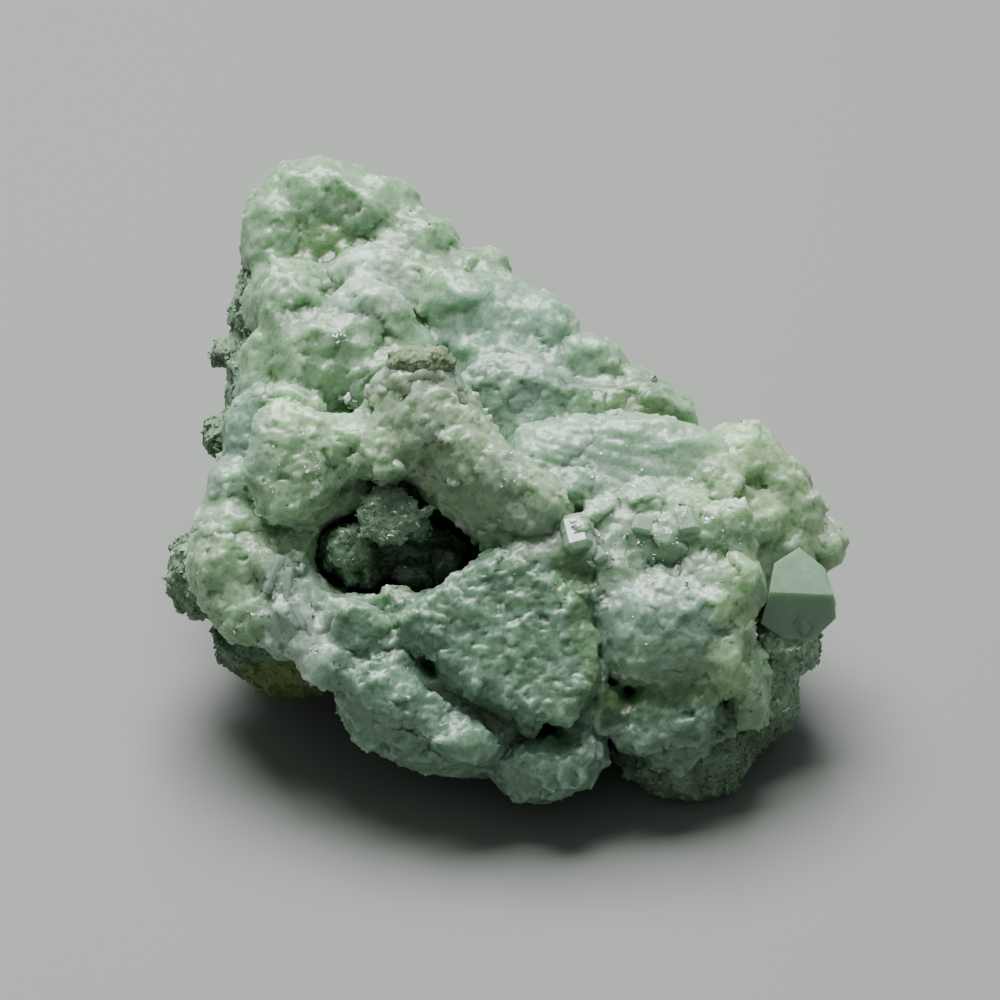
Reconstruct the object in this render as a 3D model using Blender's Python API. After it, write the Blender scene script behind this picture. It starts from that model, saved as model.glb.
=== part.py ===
"""Prehnite on its host rock: a hand specimen about 68 mm across, modelled in metres with +Z up.

The specimen stands on three worn feet of dark host rock. Its show face, which carries the pillar,
the hollow and the crystal shelves, leans back from the viewer. Pieces that lie on the show face are
placed by three lengths in millimetres: across (to the right), up (up the face) and out (towards the
viewer). Pieces of the body and the underside are placed by plain X, Y and Z in millimetres.
"""

import math
import random
from dataclasses import dataclass

import bmesh
import bpy
from mathutils import Euler, Matrix, Vector

MM = 0.001
FACE_LEAN = math.radians(38.0)
FACE_HEIGHT = 28.4
CENTRE = Vector((0.75, 12.5, 0.0))
SEAM = 0.3
KEPT_SHARE = 0.56
GOLDEN_ANGLE = math.pi * (3.0 - math.sqrt(5.0))

ACROSS = Vector((1.0, 0.0, 0.0))
UP = Vector((0.0, math.sin(FACE_LEAN), math.cos(FACE_LEAN)))
OUT = Vector((0.0, -math.cos(FACE_LEAN), math.sin(FACE_LEAN)))
FACE_AXES = Matrix((ACROSS, UP, OUT)).transposed()
GROUND_AXES = Matrix.Identity(3)


def on_face(across, up, out):
    """A point of the show face, in millimetres from the middle of the specimen's underside."""
    middle = Vector((0.0, 0.0, FACE_HEIGHT)) - CENTRE
    return middle + ACROSS * across + UP * up + OUT * out


@dataclass(frozen=True)
class Knob:
    """A lump or crystal with flat facets: the hull of points spread over a rounded box.

    half is its half size along its own three axes, boxy goes from 2 (round) to 6 (a block), and
    turn, lean and swing rotate it in the plane of its axes, back, and to the side, in degrees.
    """

    at: tuple
    half: tuple
    boxy: float = 2.2
    turn: float = 0.0
    lean: float = 0.0
    swing: float = 0.0
    facets: int = 22
    rough: float = 0.07
    grounded: bool = False

    def axes(self):
        base = GROUND_AXES if self.grounded else FACE_AXES
        spin = Euler((math.radians(-self.lean), math.radians(self.swing), math.radians(self.turn)))
        return base @ spin.to_matrix()

    def corners(self, grow, dice):
        """Points on the rounded box, grown outwards by grow millimetres."""
        middle = Vector(self.at) - CENTRE if self.grounded else on_face(*self.at)
        axes = self.axes()
        start = dice.uniform(0.0, math.tau)
        found = []
        for i in range(self.facets):
            height = 1.0 - 2.0 * (i + 0.5) / self.facets
            ring = math.sqrt(1.0 - height * height)
            angle = start + i * GOLDEN_ANGLE
            ray = Vector((ring * math.cos(angle), ring * math.sin(angle), height))
            swell = sum(abs(c) ** self.boxy for c in ray) ** (-1.0 / self.boxy)
            swell *= 1.0 + dice.uniform(-self.rough, self.rough)
            local = Vector((c * swell * (h + grow) for c, h in zip(ray, self.half)))
            found.append(middle + axes @ local)
        return found

    def mesh(self, grow, dice):
        made = bmesh.new()
        for corner in self.corners(grow, dice):
            made.verts.new(corner * MM)
        hull = bmesh.ops.convex_hull(made, input=made.verts)
        loose = set(hull["geom_interior"]) | set(hull["geom_unused"])
        bmesh.ops.delete(made, geom=[v for v in loose if isinstance(v, bmesh.types.BMVert)])
        return made


@dataclass(frozen=True)
class Shelf:
    """A slab of crystal with the outline seen from in front: a flat top, a chamfer and a straight back.

    outline holds (across, up) corners, anticlockwise. tilt is how far the front comes out for each
    millimetre across and up from the outline's middle.
    """

    outline: tuple
    front: float
    back: float
    chamfer: float = 1.2
    tilt: tuple = (0.0, 0.0)

    def ring(self, shrink, out):
        """The outline drawn in towards its middle by about shrink millimetres, as points at a depth."""
        corners = [Vector(corner) for corner in self.outline]
        middle = sum(corners, Vector((0.0, 0.0))) / len(corners)
        reach = sum((corner - middle).length for corner in corners) / len(corners)
        points = []
        for corner in corners:
            spoke = (corner - middle) * (1.0 - shrink / reach)
            tilted = out + self.tilt[0] * spoke.x + self.tilt[1] * spoke.y
            points.append(on_face(middle.x + spoke.x, middle.y + spoke.y, tilted))
        return points

    def mesh(self, grow, dice):
        made = bmesh.new()
        shoulder = self.front - self.chamfer
        levels = ((0.0, self.back - grow), (0.0, shoulder + grow), (self.chamfer, self.front + grow))
        rings = []
        for shrink, out in levels:
            wobble = [p + OUT * dice.uniform(-0.15, 0.15) for p in self.ring(shrink - grow, out)]
            rings.append([made.verts.new(p * MM) for p in wobble])
        count = len(self.outline)
        for low, high in zip(rings, rings[1:]):
            for i in range(count):
                j = (i + 1) % count
                made.faces.new((low[i], low[j], high[j], high[i]))
        made.faces.new(rings[-1])
        made.faces.new(reversed(rings[0]))
        bmesh.ops.triangulate(made, faces=made.faces)
        return made


@dataclass(frozen=True)
class Rosette:
    """A round leafy plate with a scalloped rim and a domed top, as small prehnite crystals grow."""

    at: tuple
    radius: float
    thick: float
    lean: float = 0.0
    swing: float = 0.0
    turn: float = 0.0
    petals: int = 16
    scallop: float = 0.08

    def mesh(self, grow, dice):
        spin = Euler((math.radians(-self.lean), math.radians(self.swing), math.radians(self.turn)))
        axes = FACE_AXES @ spin.to_matrix()
        middle = on_face(*self.at)
        made = bmesh.new()
        levels = ((0.72, -self.thick), (1.0, 0.0), (0.62, 0.75 * self.thick))
        rims = [1.0 + (self.scallop if i % 2 else -self.scallop) + dice.uniform(-0.05, 0.05)
                for i in range(self.petals)]
        rings = []
        for share, height in levels:
            ring = []
            for i, rim in enumerate(rims):
                angle = math.tau * i / self.petals
                reach = self.radius * share * rim + grow
                local = Vector((reach * math.cos(angle), reach * math.sin(angle), height))
                ring.append(made.verts.new((middle + axes @ local) * MM))
            rings.append(ring)
        for low, high in zip(rings, rings[1:]):
            for i in range(self.petals):
                j = (i + 1) % self.petals
                made.faces.new((low[i], low[j], high[j], high[i]))
        made.faces.new(rings[-1])
        made.faces.new(reversed(rings[0]))
        bmesh.ops.triangulate(made, faces=made.faces)
        return made


def ground(at, half, **more):
    """A knob of the body or the underside, placed by X, Y and Z."""
    return Knob(at, half, grounded=True, **more)


HOST_ROCK = (
    ground((3.0, 12.5, 4.2), (20.0, 13.5, 6.8), facets=64, boxy=2.6),
    ground((-15.0, 20.0, 7.0), (13.0, 12.5, 9.5), facets=50, boxy=2.4),
    ground((-24.0, 8.5, 12.6), (5.6, 8.0, 6.4), facets=40, boxy=2.6),
    ground((-25.4, 13.0, 15.5), (4.0, 9.0, 8.5), facets=40, boxy=2.4),
    ground((-24.8, 22.0, 20.5), (3.6, 9.0, 10.5), facets=40, boxy=2.6),
    ground((-24.6, 31.0, 23.5), (3.4, 6.0, 11.5), facets=36, boxy=2.6),
    ground((-28.6, 27.6, 26.4), (1.7, 1.9, 1.9), facets=14),
    ground((-28.9, 17.0, 23.4), (1.8, 2.4, 2.2), facets=14),
    ground((-30.0, 4.6, 15.4), (4.0, 5.4, 4.4), facets=28),
    ground((-20.6, 1.0, 9.0), (8.6, 5.2, 3.8), facets=36, boxy=2.8, turn=-8.0),
    ground((-21.0, 0.8, 6.4), (5.6, 4.0, 2.8), facets=24, boxy=2.8),
    ground((19.0, -7.5, 3.6), (7.0, 7.4, 6.0), facets=44, boxy=2.6, turn=20.0),
    ground((24.5, -2.0, 6.8), (6.0, 7.6, 6.4), facets=40, boxy=2.4),
    ground((27.4, 1.5, 10.5), (5.4, 6.2, 5.4), facets=34),
    ground((28.2, -3.6, 13.2), (3.4, 2.8, 2.8), facets=22),
    ground((2.0, 2.0, 5.6), (15.0, 9.0, 5.6), facets=40),
)

BODY = (
    ground((2.0, 1.5, 15.0), (20.0, 11.5, 9.0), facets=60, boxy=2.6),
    ground((-16.5, 16.0, 19.5), (9.5, 15.0, 10.5), facets=60, boxy=2.4),
    ground((-1.0, 13.0, 18.5), (16.0, 12.0, 11.0), facets=60, boxy=2.4),
    ground((18.0, 4.0, 15.0), (13.0, 10.0, 9.5), facets=50, boxy=2.4),
    ground((-16.6, 31.0, 27.0), (8.6, 9.5, 12.0), facets=50, boxy=2.4),
    Knob((-2.0, -13.6, -3.2), (15.6, 10.6, 4.6), facets=60, boxy=2.6),
    Knob((-18.4, -2.4, -6.4), (9.0, 10.0, 4.8), facets=50, boxy=2.6),
    Knob((15.2, -6.4, -6.2), (11.0, 12.0, 4.8), facets=60, boxy=2.6),
)

HOLLOW = (
    Knob((-13.4, -5.4, -3.5), (5.6, 4.4, 9.0), facets=30),
    Knob((-7.0, -5.4, -3.5), (5.6, 4.8, 9.5), facets=30),
    Knob((-9.4, -1.2, -1.0), (4.8, 3.8, 7.0), facets=26),
)

PITS = (
    Knob((-18.2, 26.0, -15.0), (2.1, 2.5, 5.0), facets=16),
    Knob((11.0, 9.4, -7.6), (6.6, 2.2, 3.6), facets=24, turn=-8.0),
)

PEAK = (
    Knob((-19.2, 31.0, -23.0), (6.4, 4.9, 6.0), facets=30),
    Knob((-23.3, 26.4, -21.5), (3.8, 6.0, 5.4), facets=26),
    Knob((-13.6, 30.0, -22.5), (5.8, 4.2, 6.0), facets=28),
    Knob((-8.8, 26.0, -20.5), (5.0, 4.4, 5.4), facets=26),
    Knob((-21.8, 20.4, -17.4), (4.8, 4.6, 5.0), facets=26, boxy=2.8),
    Knob((-13.0, 22.6, -15.8), (4.2, 3.6, 3.6), facets=28, boxy=3.0),
    Knob((-16.6, 22.2, -16.0), (2.2, 2.4, 2.4), facets=18),
    Knob((-19.8, 15.8, -13.2), (5.2, 4.8, 4.8), facets=28, boxy=2.8),
    Knob((-14.6, 16.6, -13.8), (4.8, 4.4, 4.4), facets=26),
    Knob((-23.8, 12.6, -13.2), (3.0, 5.0, 4.4), facets=24, boxy=2.8),
    Knob((-10.6, 14.6, -12.4), (4.4, 4.2, 4.4), facets=24),
    Knob((-7.4, 20.4, -17.0), (4.4, 4.6, 4.8), facets=26, boxy=2.8),
    Knob((-18.0, 11.6, -10.4), (5.6, 2.4, 3.4), facets=24, boxy=2.8),
)

BACK_RIDGE = (
    Knob((-3.0, 22.4, -19.4), (4.8, 3.6, 5.0), facets=24),
    Knob((0.7, 19.2, -17.8), (4.2, 3.2, 4.6), facets=24, boxy=2.8),
    Knob((3.8, 16.6, -16.4), (4.0, 2.8, 4.6), facets=22),
    Knob((6.9, 14.1, -15.0), (3.8, 2.6, 4.2), facets=22, boxy=2.8),
    Knob((10.4, 12.2, -14.0), (4.0, 2.5, 4.2), facets=22),
    Knob((14.2, 10.7, -13.2), (3.6, 2.6, 4.2), facets=22, boxy=2.8),
    Knob((17.4, 8.8, -12.2), (3.0, 2.4, 3.6), facets=18),
)

SADDLE = (
    Knob((-0.6, 14.6, -14.2), (7.6, 8.4, 4.4), facets=40, boxy=2.6, lean=14.0, turn=34.0, rough=0.03),
    Knob((3.0, 9.4, -10.2), (5.6, 5.4, 4.2), facets=30, boxy=2.6, lean=20.0, rough=0.03),
    Knob((11.0, 5.0, -6.6), (10.6, 3.4, 4.4), facets=34, boxy=3.2, turn=2.0, lean=24.0, rough=0.03),
    Knob((18.0, 4.0, -6.0), (4.8, 3.6, 4.0), facets=26, boxy=2.8, rough=0.03),
    Knob((5.6, 4.0, -6.0), (4.6, 3.8, 4.4), facets=26, boxy=2.6, rough=0.04),
    Knob((8.6, 1.2, -4.6), (5.4, 2.8, 4.0), facets=26, boxy=2.8, rough=0.04),
    Knob((15.8, 1.0, -5.2), (5.4, 2.6, 4.0), facets=24, boxy=2.8, rough=0.04),
)

RIGHT_SHOULDER = (
    Knob((24.2, 3.6, -9.0), (5.0, 4.4, 5.0), facets=30),
    Knob((27.6, 1.2, -9.6), (4.0, 4.0, 4.6), facets=24),
    Knob((30.0, -1.6, -10.0), (3.2, 3.4, 4.4), facets=22),
    Knob((21.6, 1.2, -5.8), (4.2, 3.8, 4.4), facets=24),
    Knob((25.2, -2.4, -7.2), (4.4, 4.0, 4.4), facets=24),
    Knob((28.8, -4.6, -8.6), (3.4, 3.0, 3.6), facets=22),
    Knob((33.0, -4.6, -10.4), (2.5, 2.9, 3.6), facets=20, boxy=1.9),
)

CLEAVED_BLOCK = Shelf(
    ((26.6, -9.6), (28.4, -12.4), (30.6, -14.0), (33.2, -12.6), (34.0, -10.4), (33.0, -7.4),
     (31.4, -5.4), (28.4, -5.4)),
    front=-4.6, back=-13.0, chamfer=1.0, tilt=(-0.25, -0.35),
)

PILLAR = (
    Shelf(
        ((-13.9, 8.2), (-12.4, 5.4), (-9.8, 2.8), (-7.4, 0.3), (-5.6, -1.2), (-1.7, -4.7),
         (1.8, -5.0), (5.0, -3.4), (7.1, -1.0), (6.4, 0.9), (3.8, 3.0), (0.9, 4.9), (-0.3, 6.4),
         (-1.8, 9.2), (-3.0, 11.0), (-4.4, 12.8), (-7.8, 13.6), (-11.2, 12.6), (-12.8, 10.8)),
        front=1.6, back=-3.6, chamfer=2.0, tilt=(0.02, -0.03),
    ),
    Knob((-7.6, 8.2, -0.2), (5.4, 4.4, 3.8), facets=30, turn=-46.0, boxy=2.6, rough=0.03),
    Knob((-2.6, 4.0, 0.0), (9.0, 3.8, 3.8), facets=36, turn=-42.0, rough=0.03),
    Knob((2.8, -0.4, -0.2), (4.6, 3.8, 3.8), facets=28, turn=-40.0, rough=0.03),
)

LEFT_RIM = (
    Shelf(
        ((-25.1, 5.0), (-25.0, 2.4), (-24.2, -0.2), (-22.6, -2.2), (-20.3, -2.9), (-18.6, -1.6),
         (-16.8, 0.2), (-14.6, 1.8), (-12.4, 2.8), (-9.6, 3.6), (-11.0, 7.4), (-13.4, 8.4),
         (-16.6, 8.8), (-20.0, 8.6), (-21.4, 9.5), (-23.6, 8.6)),
        front=0.2, back=-5.0, chamfer=1.0, tilt=(-0.02, 0.0),
    ),
    Rosette((-21.9, 3.6, 0.0), radius=3.9, thick=1.9, swing=-8.0, petals=18, scallop=0.03),
    Knob((-21.2, 0.0, -0.3), (3.4, 2.6, 2.0), facets=24, boxy=2.4),
    Knob((-15.2, 5.2, -1.0), (4.6, 3.2, 2.6), facets=30, boxy=2.4),
    Knob((-18.2, 5.8, -1.0), (3.2, 2.9, 2.4), facets=24),
)

LEFT_SHOULDER = (
    Knob((-26.6, -5.8, -4.6), (5.2, 6.2, 4.8), facets=34, boxy=2.4),
    Knob((-24.8, -10.6, -3.8), (4.8, 4.2, 4.4), facets=28),
    Knob((-26.8, 0.2, -6.8), (3.0, 4.6, 4.6), facets=24, boxy=2.6),
    Knob((-25.4, 5.8, -9.0), (2.7, 4.8, 4.6), facets=24, boxy=2.8),
    Knob((-21.4, -6.4, -3.8), (3.2, 4.6, 3.6), facets=24, boxy=2.6),
    Knob((-22.0, 9.4, -7.6), (4.6, 2.4, 4.0), facets=24, boxy=2.8),
)

BLADE_RIDGE = (
    Knob((-22.2, -8.4, -0.8), (1.4, 4.2, 2.4), facets=20, boxy=3.4, turn=28.0),
    Knob((-20.4, -12.2, -0.4), (1.9, 4.4, 2.6), facets=20, boxy=3.4, turn=24.0),
    Knob((-18.2, -14.8, -0.2), (2.8, 3.6, 2.8), facets=24, boxy=3.0, turn=20.0),
    Knob((-21.8, -13.2, -1.8), (2.8, 3.0, 3.0), facets=22),
    Knob((-18.8, -9.6, -2.6), (1.6, 3.4, 2.6), facets=20, boxy=3.0, turn=30.0),
)

FRONT_RIM = (
    Shelf(
        ((-18.6, -10.2), (-16.4, -13.2), (-13.6, -16.0), (-9.6, -17.4), (-5.6, -16.0), (-2.0, -12.6),
         (2.6, -9.4), (5.6, -6.6), (5.0, -4.4), (2.0, -4.6), (-1.4, -5.8), (-3.4, -7.6),
         (-6.4, -9.0), (-9.4, -10.6), (-12.2, -12.0), (-14.6, -11.6), (-16.8, -9.8)),
        front=1.8, back=-4.0, chamfer=1.4, tilt=(0.04, 0.02),
    ),
    Knob((-14.0, -14.4, 0.4), (3.6, 2.4, 2.4), facets=22, turn=-24.0, boxy=2.8),
    Knob((-8.8, -13.6, 1.0), (3.8, 2.2, 2.2), facets=22, turn=24.0, boxy=2.8),
    Knob((-0.6, -7.2, 1.4), (3.6, 2.0, 2.0), facets=22, turn=32.0, boxy=2.8),
    Knob((2.8, -6.6, 0.6), (3.4, 2.8, 3.0), facets=22, boxy=2.8),
    Knob((5.0, -3.6, -0.6), (3.0, 2.4, 2.6), facets=22),
)

FRONT_SHELF = (
    Shelf(
        ((-6.6, -13.2), (-6.2, -18.2), (-2.2, -20.4), (1.6, -22.6), (3.4, -23.6), (4.8, -21.0),
         (6.2, -19.6), (9.8, -18.4), (9.0, -14.8), (8.4, -12.4), (5.6, -9.4), (3.6, -7.0),
         (-1.6, -7.6), (-4.6, -10.4)),
        front=4.2, back=-6.0, chamfer=1.8, tilt=(-0.05, -0.12),
    ),
    Knob((6.8, -10.6, 1.4), (2.6, 2.8, 2.4), facets=20, boxy=3.4, turn=15.0),
    Knob((8.6, -14.2, 1.8), (1.6, 1.8, 1.6), facets=16, boxy=4.0, turn=30.0),
    Knob((9.2, -17.4, 1.8), (1.6, 1.5, 1.6), facets=16, boxy=4.0),
    Knob((5.4, -18.0, 3.0), (2.6, 2.2, 1.8), facets=18, boxy=3.6, turn=-15.0),
    Knob((-2.8, -16.0, 3.2), (2.4, 2.8, 1.8), facets=18, boxy=3.6, turn=10.0),
    Knob((1.6, -14.6, 3.6), (3.0, 2.2, 1.6), facets=18, boxy=3.6, turn=20.0),
    Knob((1.4, -20.2, 2.6), (2.2, 1.8, 1.6), facets=18, boxy=3.6, turn=-30.0),
)

LOWER_SHELF = (
    Shelf(
        ((-16.0, -19.6), (-16.2, -21.4), (-14.0, -24.0), (-10.0, -26.6), (-6.0, -27.6),
         (-1.4, -27.8), (3.0, -27.0), (4.6, -23.4), (0.0, -20.8), (-5.0, -18.2), (-9.0, -15.0),
         (-14.4, -15.4)),
        front=2.4, back=-7.0, chamfer=2.4, tilt=(-0.04, 0.20),
    ),
    Knob((-12.0, -17.8, 1.4), (3.8, 2.8, 3.0), facets=24, boxy=2.8, turn=15.0),
    Knob((-8.0, -20.6, 1.2), (4.4, 2.4, 3.0), facets=24, turn=-24.0),
    Knob((-3.0, -23.4, 0.4), (4.4, 2.6, 3.0), facets=24, turn=-20.0),
)

TOE_SHELF = (
    Shelf(
        ((-1.0, -26.2), (0.4, -29.4), (2.2, -30.2), (6.0, -30.0), (8.8, -28.4), (10.8, -26.2),
         (10.4, -23.4), (6.8, -22.8), (2.8, -24.0)),
        front=1.8, back=-5.0, chamfer=1.2, tilt=(0.03, 0.10),
    ),
    Knob((8.2, -24.6, 0.2), (2.6, 2.2, 2.4), facets=18, boxy=4.0, turn=18.0),
    Knob((10.4, -21.0, 0.0), (2.5, 2.7, 2.6), facets=20, boxy=4.0, turn=12.0),
    Knob((7.4, -21.2, -0.8), (2.4, 2.0, 2.6), facets=18, boxy=3.4),
    Knob((13.4, -21.6, -2.4), (2.4, 2.6, 2.8), facets=18),
)

GRANULAR_DOME = (
    Knob((15.5, -12.9, -0.6), (7.0, 6.2, 5.4), facets=50, boxy=2.5, rough=0.03),
    Knob((14.6, -15.0, 0.8), (4.6, 3.6, 3.9), facets=30, rough=0.04),
    Knob((19.4, -9.6, 0.0), (3.4, 3.0, 3.4), facets=22),
)

BARREL_CRYSTALS = (
    Knob((7.7, -3.3, 1.2), (1.6, 1.9, 2.4), facets=20, boxy=6.0, turn=22.0, rough=0.02),
    Knob((9.2, -5.8, 0.6), (1.5, 1.5, 2.4), facets=20, boxy=5.0, turn=22.0, rough=0.02),
    Knob((6.3, -6.0, 0.4), (0.9, 1.8, 2.2), facets=18, boxy=6.0, turn=22.0, rough=0.02),
    Knob((10.2, -1.6, -1.4), (2.0, 1.9, 2.8), facets=20, boxy=3.4),
    Knob((12.4, -3.4, -0.8), (2.5, 2.4, 2.8), facets=22, boxy=3.2),
    Knob((11.8, -6.6, 0.2), (2.6, 2.4, 2.8), facets=22, boxy=3.0),
    Knob((14.4, -0.4, -2.4), (2.9, 2.4, 3.0), facets=22, boxy=3.0),
    Knob((16.4, -4.2, -0.8), (2.6, 2.6, 3.0), facets=22, boxy=3.2),
    Knob((18.4, -1.0, -2.4), (2.6, 2.4, 3.0), facets=22, boxy=3.2),
    Knob((20.3, -4.6, -1.2), (2.4, 2.7, 3.0), facets=22, boxy=3.2),
    Knob((22.9, -3.6, -2.4), (2.9, 3.6, 3.4), facets=26, boxy=2.8),
    Knob((20.2, -7.8, 0.2), (2.5, 2.3, 2.8), facets=22, boxy=3.0),
    Knob((23.4, -8.6, -1.6), (3.5, 3.6, 3.8), facets=30, boxy=2.4),
    Knob((10.0, -9.4, 0.6), (2.2, 2.0, 2.6), facets=20, boxy=3.4),
    Knob((22.8, -13.0, -1.2), (2.9, 2.8, 3.2), facets=24, boxy=2.8),
    Knob((22.4, -17.0, -0.6), (2.4, 2.8, 3.2), facets=26, boxy=2.3, rough=0.04),
    Knob((16.8, -18.6, -0.6), (3.6, 2.0, 3.2), facets=24, boxy=2.6),
    Knob((20.0, -18.4, -0.8), (2.6, 2.2, 3.0), facets=22, boxy=2.6),
    Knob((24.9, -18.6, -3.4), (2.2, 5.0, 3.4), facets=26, boxy=2.8),
)

SCALLOPED_PLATES = (
    Rosette((17.2, -24.0, -0.8), radius=3.9, thick=1.8, lean=-14.0, swing=-8.0, petals=14),
    Rosette((20.2, -22.4, -2.0), radius=3.3, thick=1.8, lean=-10.0, swing=16.0, petals=14),
)

FACE_CRYSTALS = (
    PEAK + BACK_RIDGE + SADDLE + RIGHT_SHOULDER + (CLEAVED_BLOCK,) + PILLAR + LEFT_RIM
    + LEFT_SHOULDER + BLADE_RIDGE + FRONT_RIM + FRONT_SHELF + LOWER_SHELF + TOE_SHELF
    + GRANULAR_DOME + BARREL_CRYSTALS + SCALLOPED_PLATES
)

BACK_CRYSTALS = (
    ground((-12.0, 39.0, 22.0), (6.0, 4.5, 6.0), facets=24, boxy=2.8),
    ground((-20.0, 40.0, 26.0), (5.0, 4.0, 6.5), facets=24),
    ground((-5.0, 32.0, 20.0), (6.0, 5.0, 6.0), facets=24, boxy=2.8),
    ground((3.0, 26.5, 18.0), (6.0, 4.6, 6.0), facets=24),
    ground((11.0, 21.5, 16.5), (5.5, 4.4, 6.0), facets=24, boxy=2.8),
    ground((19.0, 16.5, 15.5), (5.5, 4.2, 5.5), facets=24),
    ground((26.5, 11.0, 14.5), (4.6, 4.2, 4.8), facets=22, boxy=2.8),
    ground((-2.0, 29.0, 27.0), (4.6, 4.0, 4.2), facets=22),
    ground((8.0, 22.0, 24.0), (4.4, 3.8, 4.0), facets=22),
)

POCKET_CRYSTALS = (
    Knob((-10.6, -5.6, -11.0), (7.6, 4.4, 2.6), facets=36, rough=0.12),
    Knob((-15.2, -4.8, -7.0), (3.2, 2.8, 5.0), facets=26, boxy=3.0, rough=0.12),
    Rosette((-11.3, -1.5, 0.0), radius=3.3, thick=1.1, lean=8.0, swing=-6.0, petals=18),
    Knob((-12.2, -2.4, -5.8), (1.9, 1.7, 5.8), facets=20, boxy=3.0),
    Rosette((-15.0, -4.8, -2.0), radius=2.6, thick=1.2, lean=-6.0, swing=20.0, petals=14),
    Knob((-9.2, -7.6, -9.0), (2.2, 1.5, 2.4), facets=18, boxy=3.2, rough=0.12),
    Knob((-5.4, -6.6, -9.2), (1.8, 1.9, 2.6), facets=18, boxy=3.6, rough=0.1),
    Knob((-15.4, -7.4, -6.0), (1.0, 1.8, 3.4), facets=16, boxy=4.0, turn=20.0),
    Knob((-13.4, -7.8, -7.2), (1.1, 1.4, 3.6), facets=16, boxy=4.0, turn=-30.0),
    Knob((-8.0, -1.5, -0.3), (1.9, 0.45, 0.5), facets=14, boxy=6.0, turn=34.0),
    Knob((-8.2, -2.8, -5.4), (1.1, 1.4, 4.4), facets=16, boxy=4.0, turn=-15.0),
)

PILLAR_CAP = (
    Knob((-8.0, 13.9, 0.6), (3.3, 1.3, 2.6), facets=26, boxy=2.6, turn=3.0, rough=0.12),
)


def separate(name, recipe, grow, seed):
    """One object for each shape of a recipe, not yet joined.

    Args:
        name: the start of each object's name.
        recipe: the knobs, shelves and rosettes to make.
        grow: how far each is swollen, in millimetres.
        seed: where its random numbers start, so that a shape and its swollen twin agree.
    """
    made = []
    for i, shape in enumerate(recipe):
        body = shape.mesh(grow, random.Random(seed * 1000 + i))
        bmesh.ops.recalc_face_normals(body, faces=body.faces)
        mesh = bpy.data.meshes.new(f"{name}_{i}")
        body.to_mesh(mesh)
        body.free()
        made.append(bpy.data.objects.new(f"{name}_{i}", mesh))
        bpy.context.scene.collection.objects.link(made[-1])
    return made


def bake(obj):
    """Turns an object's modifiers into its own mesh."""
    bpy.context.view_layer.update()
    graph = bpy.context.evaluated_depsgraph_get()
    old = obj.data
    obj.data = bpy.data.meshes.new_from_object(obj.evaluated_get(graph))
    obj.modifiers.clear()
    bpy.data.meshes.remove(old)
    return obj


def discard(objects):
    for obj in objects:
        bpy.data.objects.remove(obj)


def join(obj, others, operation):
    """Joins other objects to an object, or cuts them from it, and removes them."""
    group = bpy.data.collections.new("operands")
    bpy.context.scene.collection.children.link(group)
    for other in others:
        bpy.context.scene.collection.objects.unlink(other)
        group.objects.link(other)
    boolean = obj.modifiers.new(operation.lower(), "BOOLEAN")
    boolean.operation = operation
    boolean.operand_type = "COLLECTION"
    boolean.collection = group
    bake(obj)
    discard(others)
    bpy.data.collections.remove(group)
    return obj


def fused(name, recipe, grow=0.0, seed=1):
    """All the shapes of a recipe as one object."""
    first, *others = separate(name, recipe, grow, seed)
    first.name = name
    return join(first, others, "UNION") if others else first


def keep_largest(obj):
    """Keeps the largest of an object's separate pieces, which also fills hidden holes inside it."""
    body = bmesh.new()
    body.from_mesh(obj.data)
    waiting = set(body.verts)
    pieces = []
    while waiting:
        reached = [waiting.pop()]
        for vert in reached:
            linked = {edge.other_vert(vert) for edge in vert.link_edges} & waiting
            waiting -= linked
            reached.extend(linked)
        pieces.append(reached)
    pieces.sort(key=len)
    bmesh.ops.delete(body, geom=[vert for piece in pieces[:-1] for vert in piece])
    body.to_mesh(obj.data)
    body.free()
    return obj


def simplify(obj):
    """Merges the slivers that the joins leave, down to a share of the triangles."""
    decimate = obj.modifiers.new("simplify", "DECIMATE")
    decimate.ratio = KEPT_SHARE
    return bake(obj)


def trim_at_ground(obj):
    """Wears the feet flat: what reaches under the ground is cut off and closed."""
    body = bmesh.new()
    body.from_mesh(obj.data)
    cut = bmesh.ops.bisect_plane(
        body, geom=body.verts[:] + body.edges[:] + body.faces[:], dist=1e-7,
        plane_co=(0.0, 0.0, 0.0), plane_no=(0.0, 0.0, 1.0), clear_inner=True,
    )
    edges = [e for e in cut["geom_cut"] if isinstance(e, bmesh.types.BMEdge)]
    bmesh.ops.holes_fill(body, edges=edges)
    bmesh.ops.triangulate(body, faces=body.faces)
    body.to_mesh(obj.data)
    body.free()
    return obj


def host_rock(name="matrix", grow=0.0):
    """The dark granular rock that the prehnite grew on, standing on its worn feet."""
    rock = keep_largest(fused(name, HOST_ROCK, grow, seed=1))
    return rock if grow else trim_at_ground(rock)


def prehnite(name="prehnite", grow=0.0):
    """The pale green mass: its body, the hollow and pits in it, and the crystals that cover it."""
    mass = fused(name, BODY, grow, seed=2)
    join(mass, separate("hollow", HOLLOW + PITS, -grow, seed=3), "DIFFERENCE")
    join(mass, separate("crystal", FACE_CRYSTALS + BACK_CRYSTALS, grow, seed=4), "UNION")
    if grow:
        return keep_largest(mass)
    join(mass, [host_rock("rock_cutter", SEAM)], "DIFFERENCE")
    return simplify(keep_largest(mass))


def pocket_crystals():
    """The small rosettes and blades that line the hollow, kept clear of its walls."""
    lining = fused("pocket_crystals", POCKET_CRYSTALS, seed=5)
    return keep_largest(join(lining, [prehnite("wall_cutter", SEAM)], "DIFFERENCE"))


def pillar_cap():
    """The scrap of host rock left on the tip of the pillar."""
    cap = fused("pillar_cap", PILLAR_CAP, seed=6)
    return keep_largest(join(cap, [prehnite("tip_cutter", SEAM)], "DIFFERENCE"))


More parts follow.
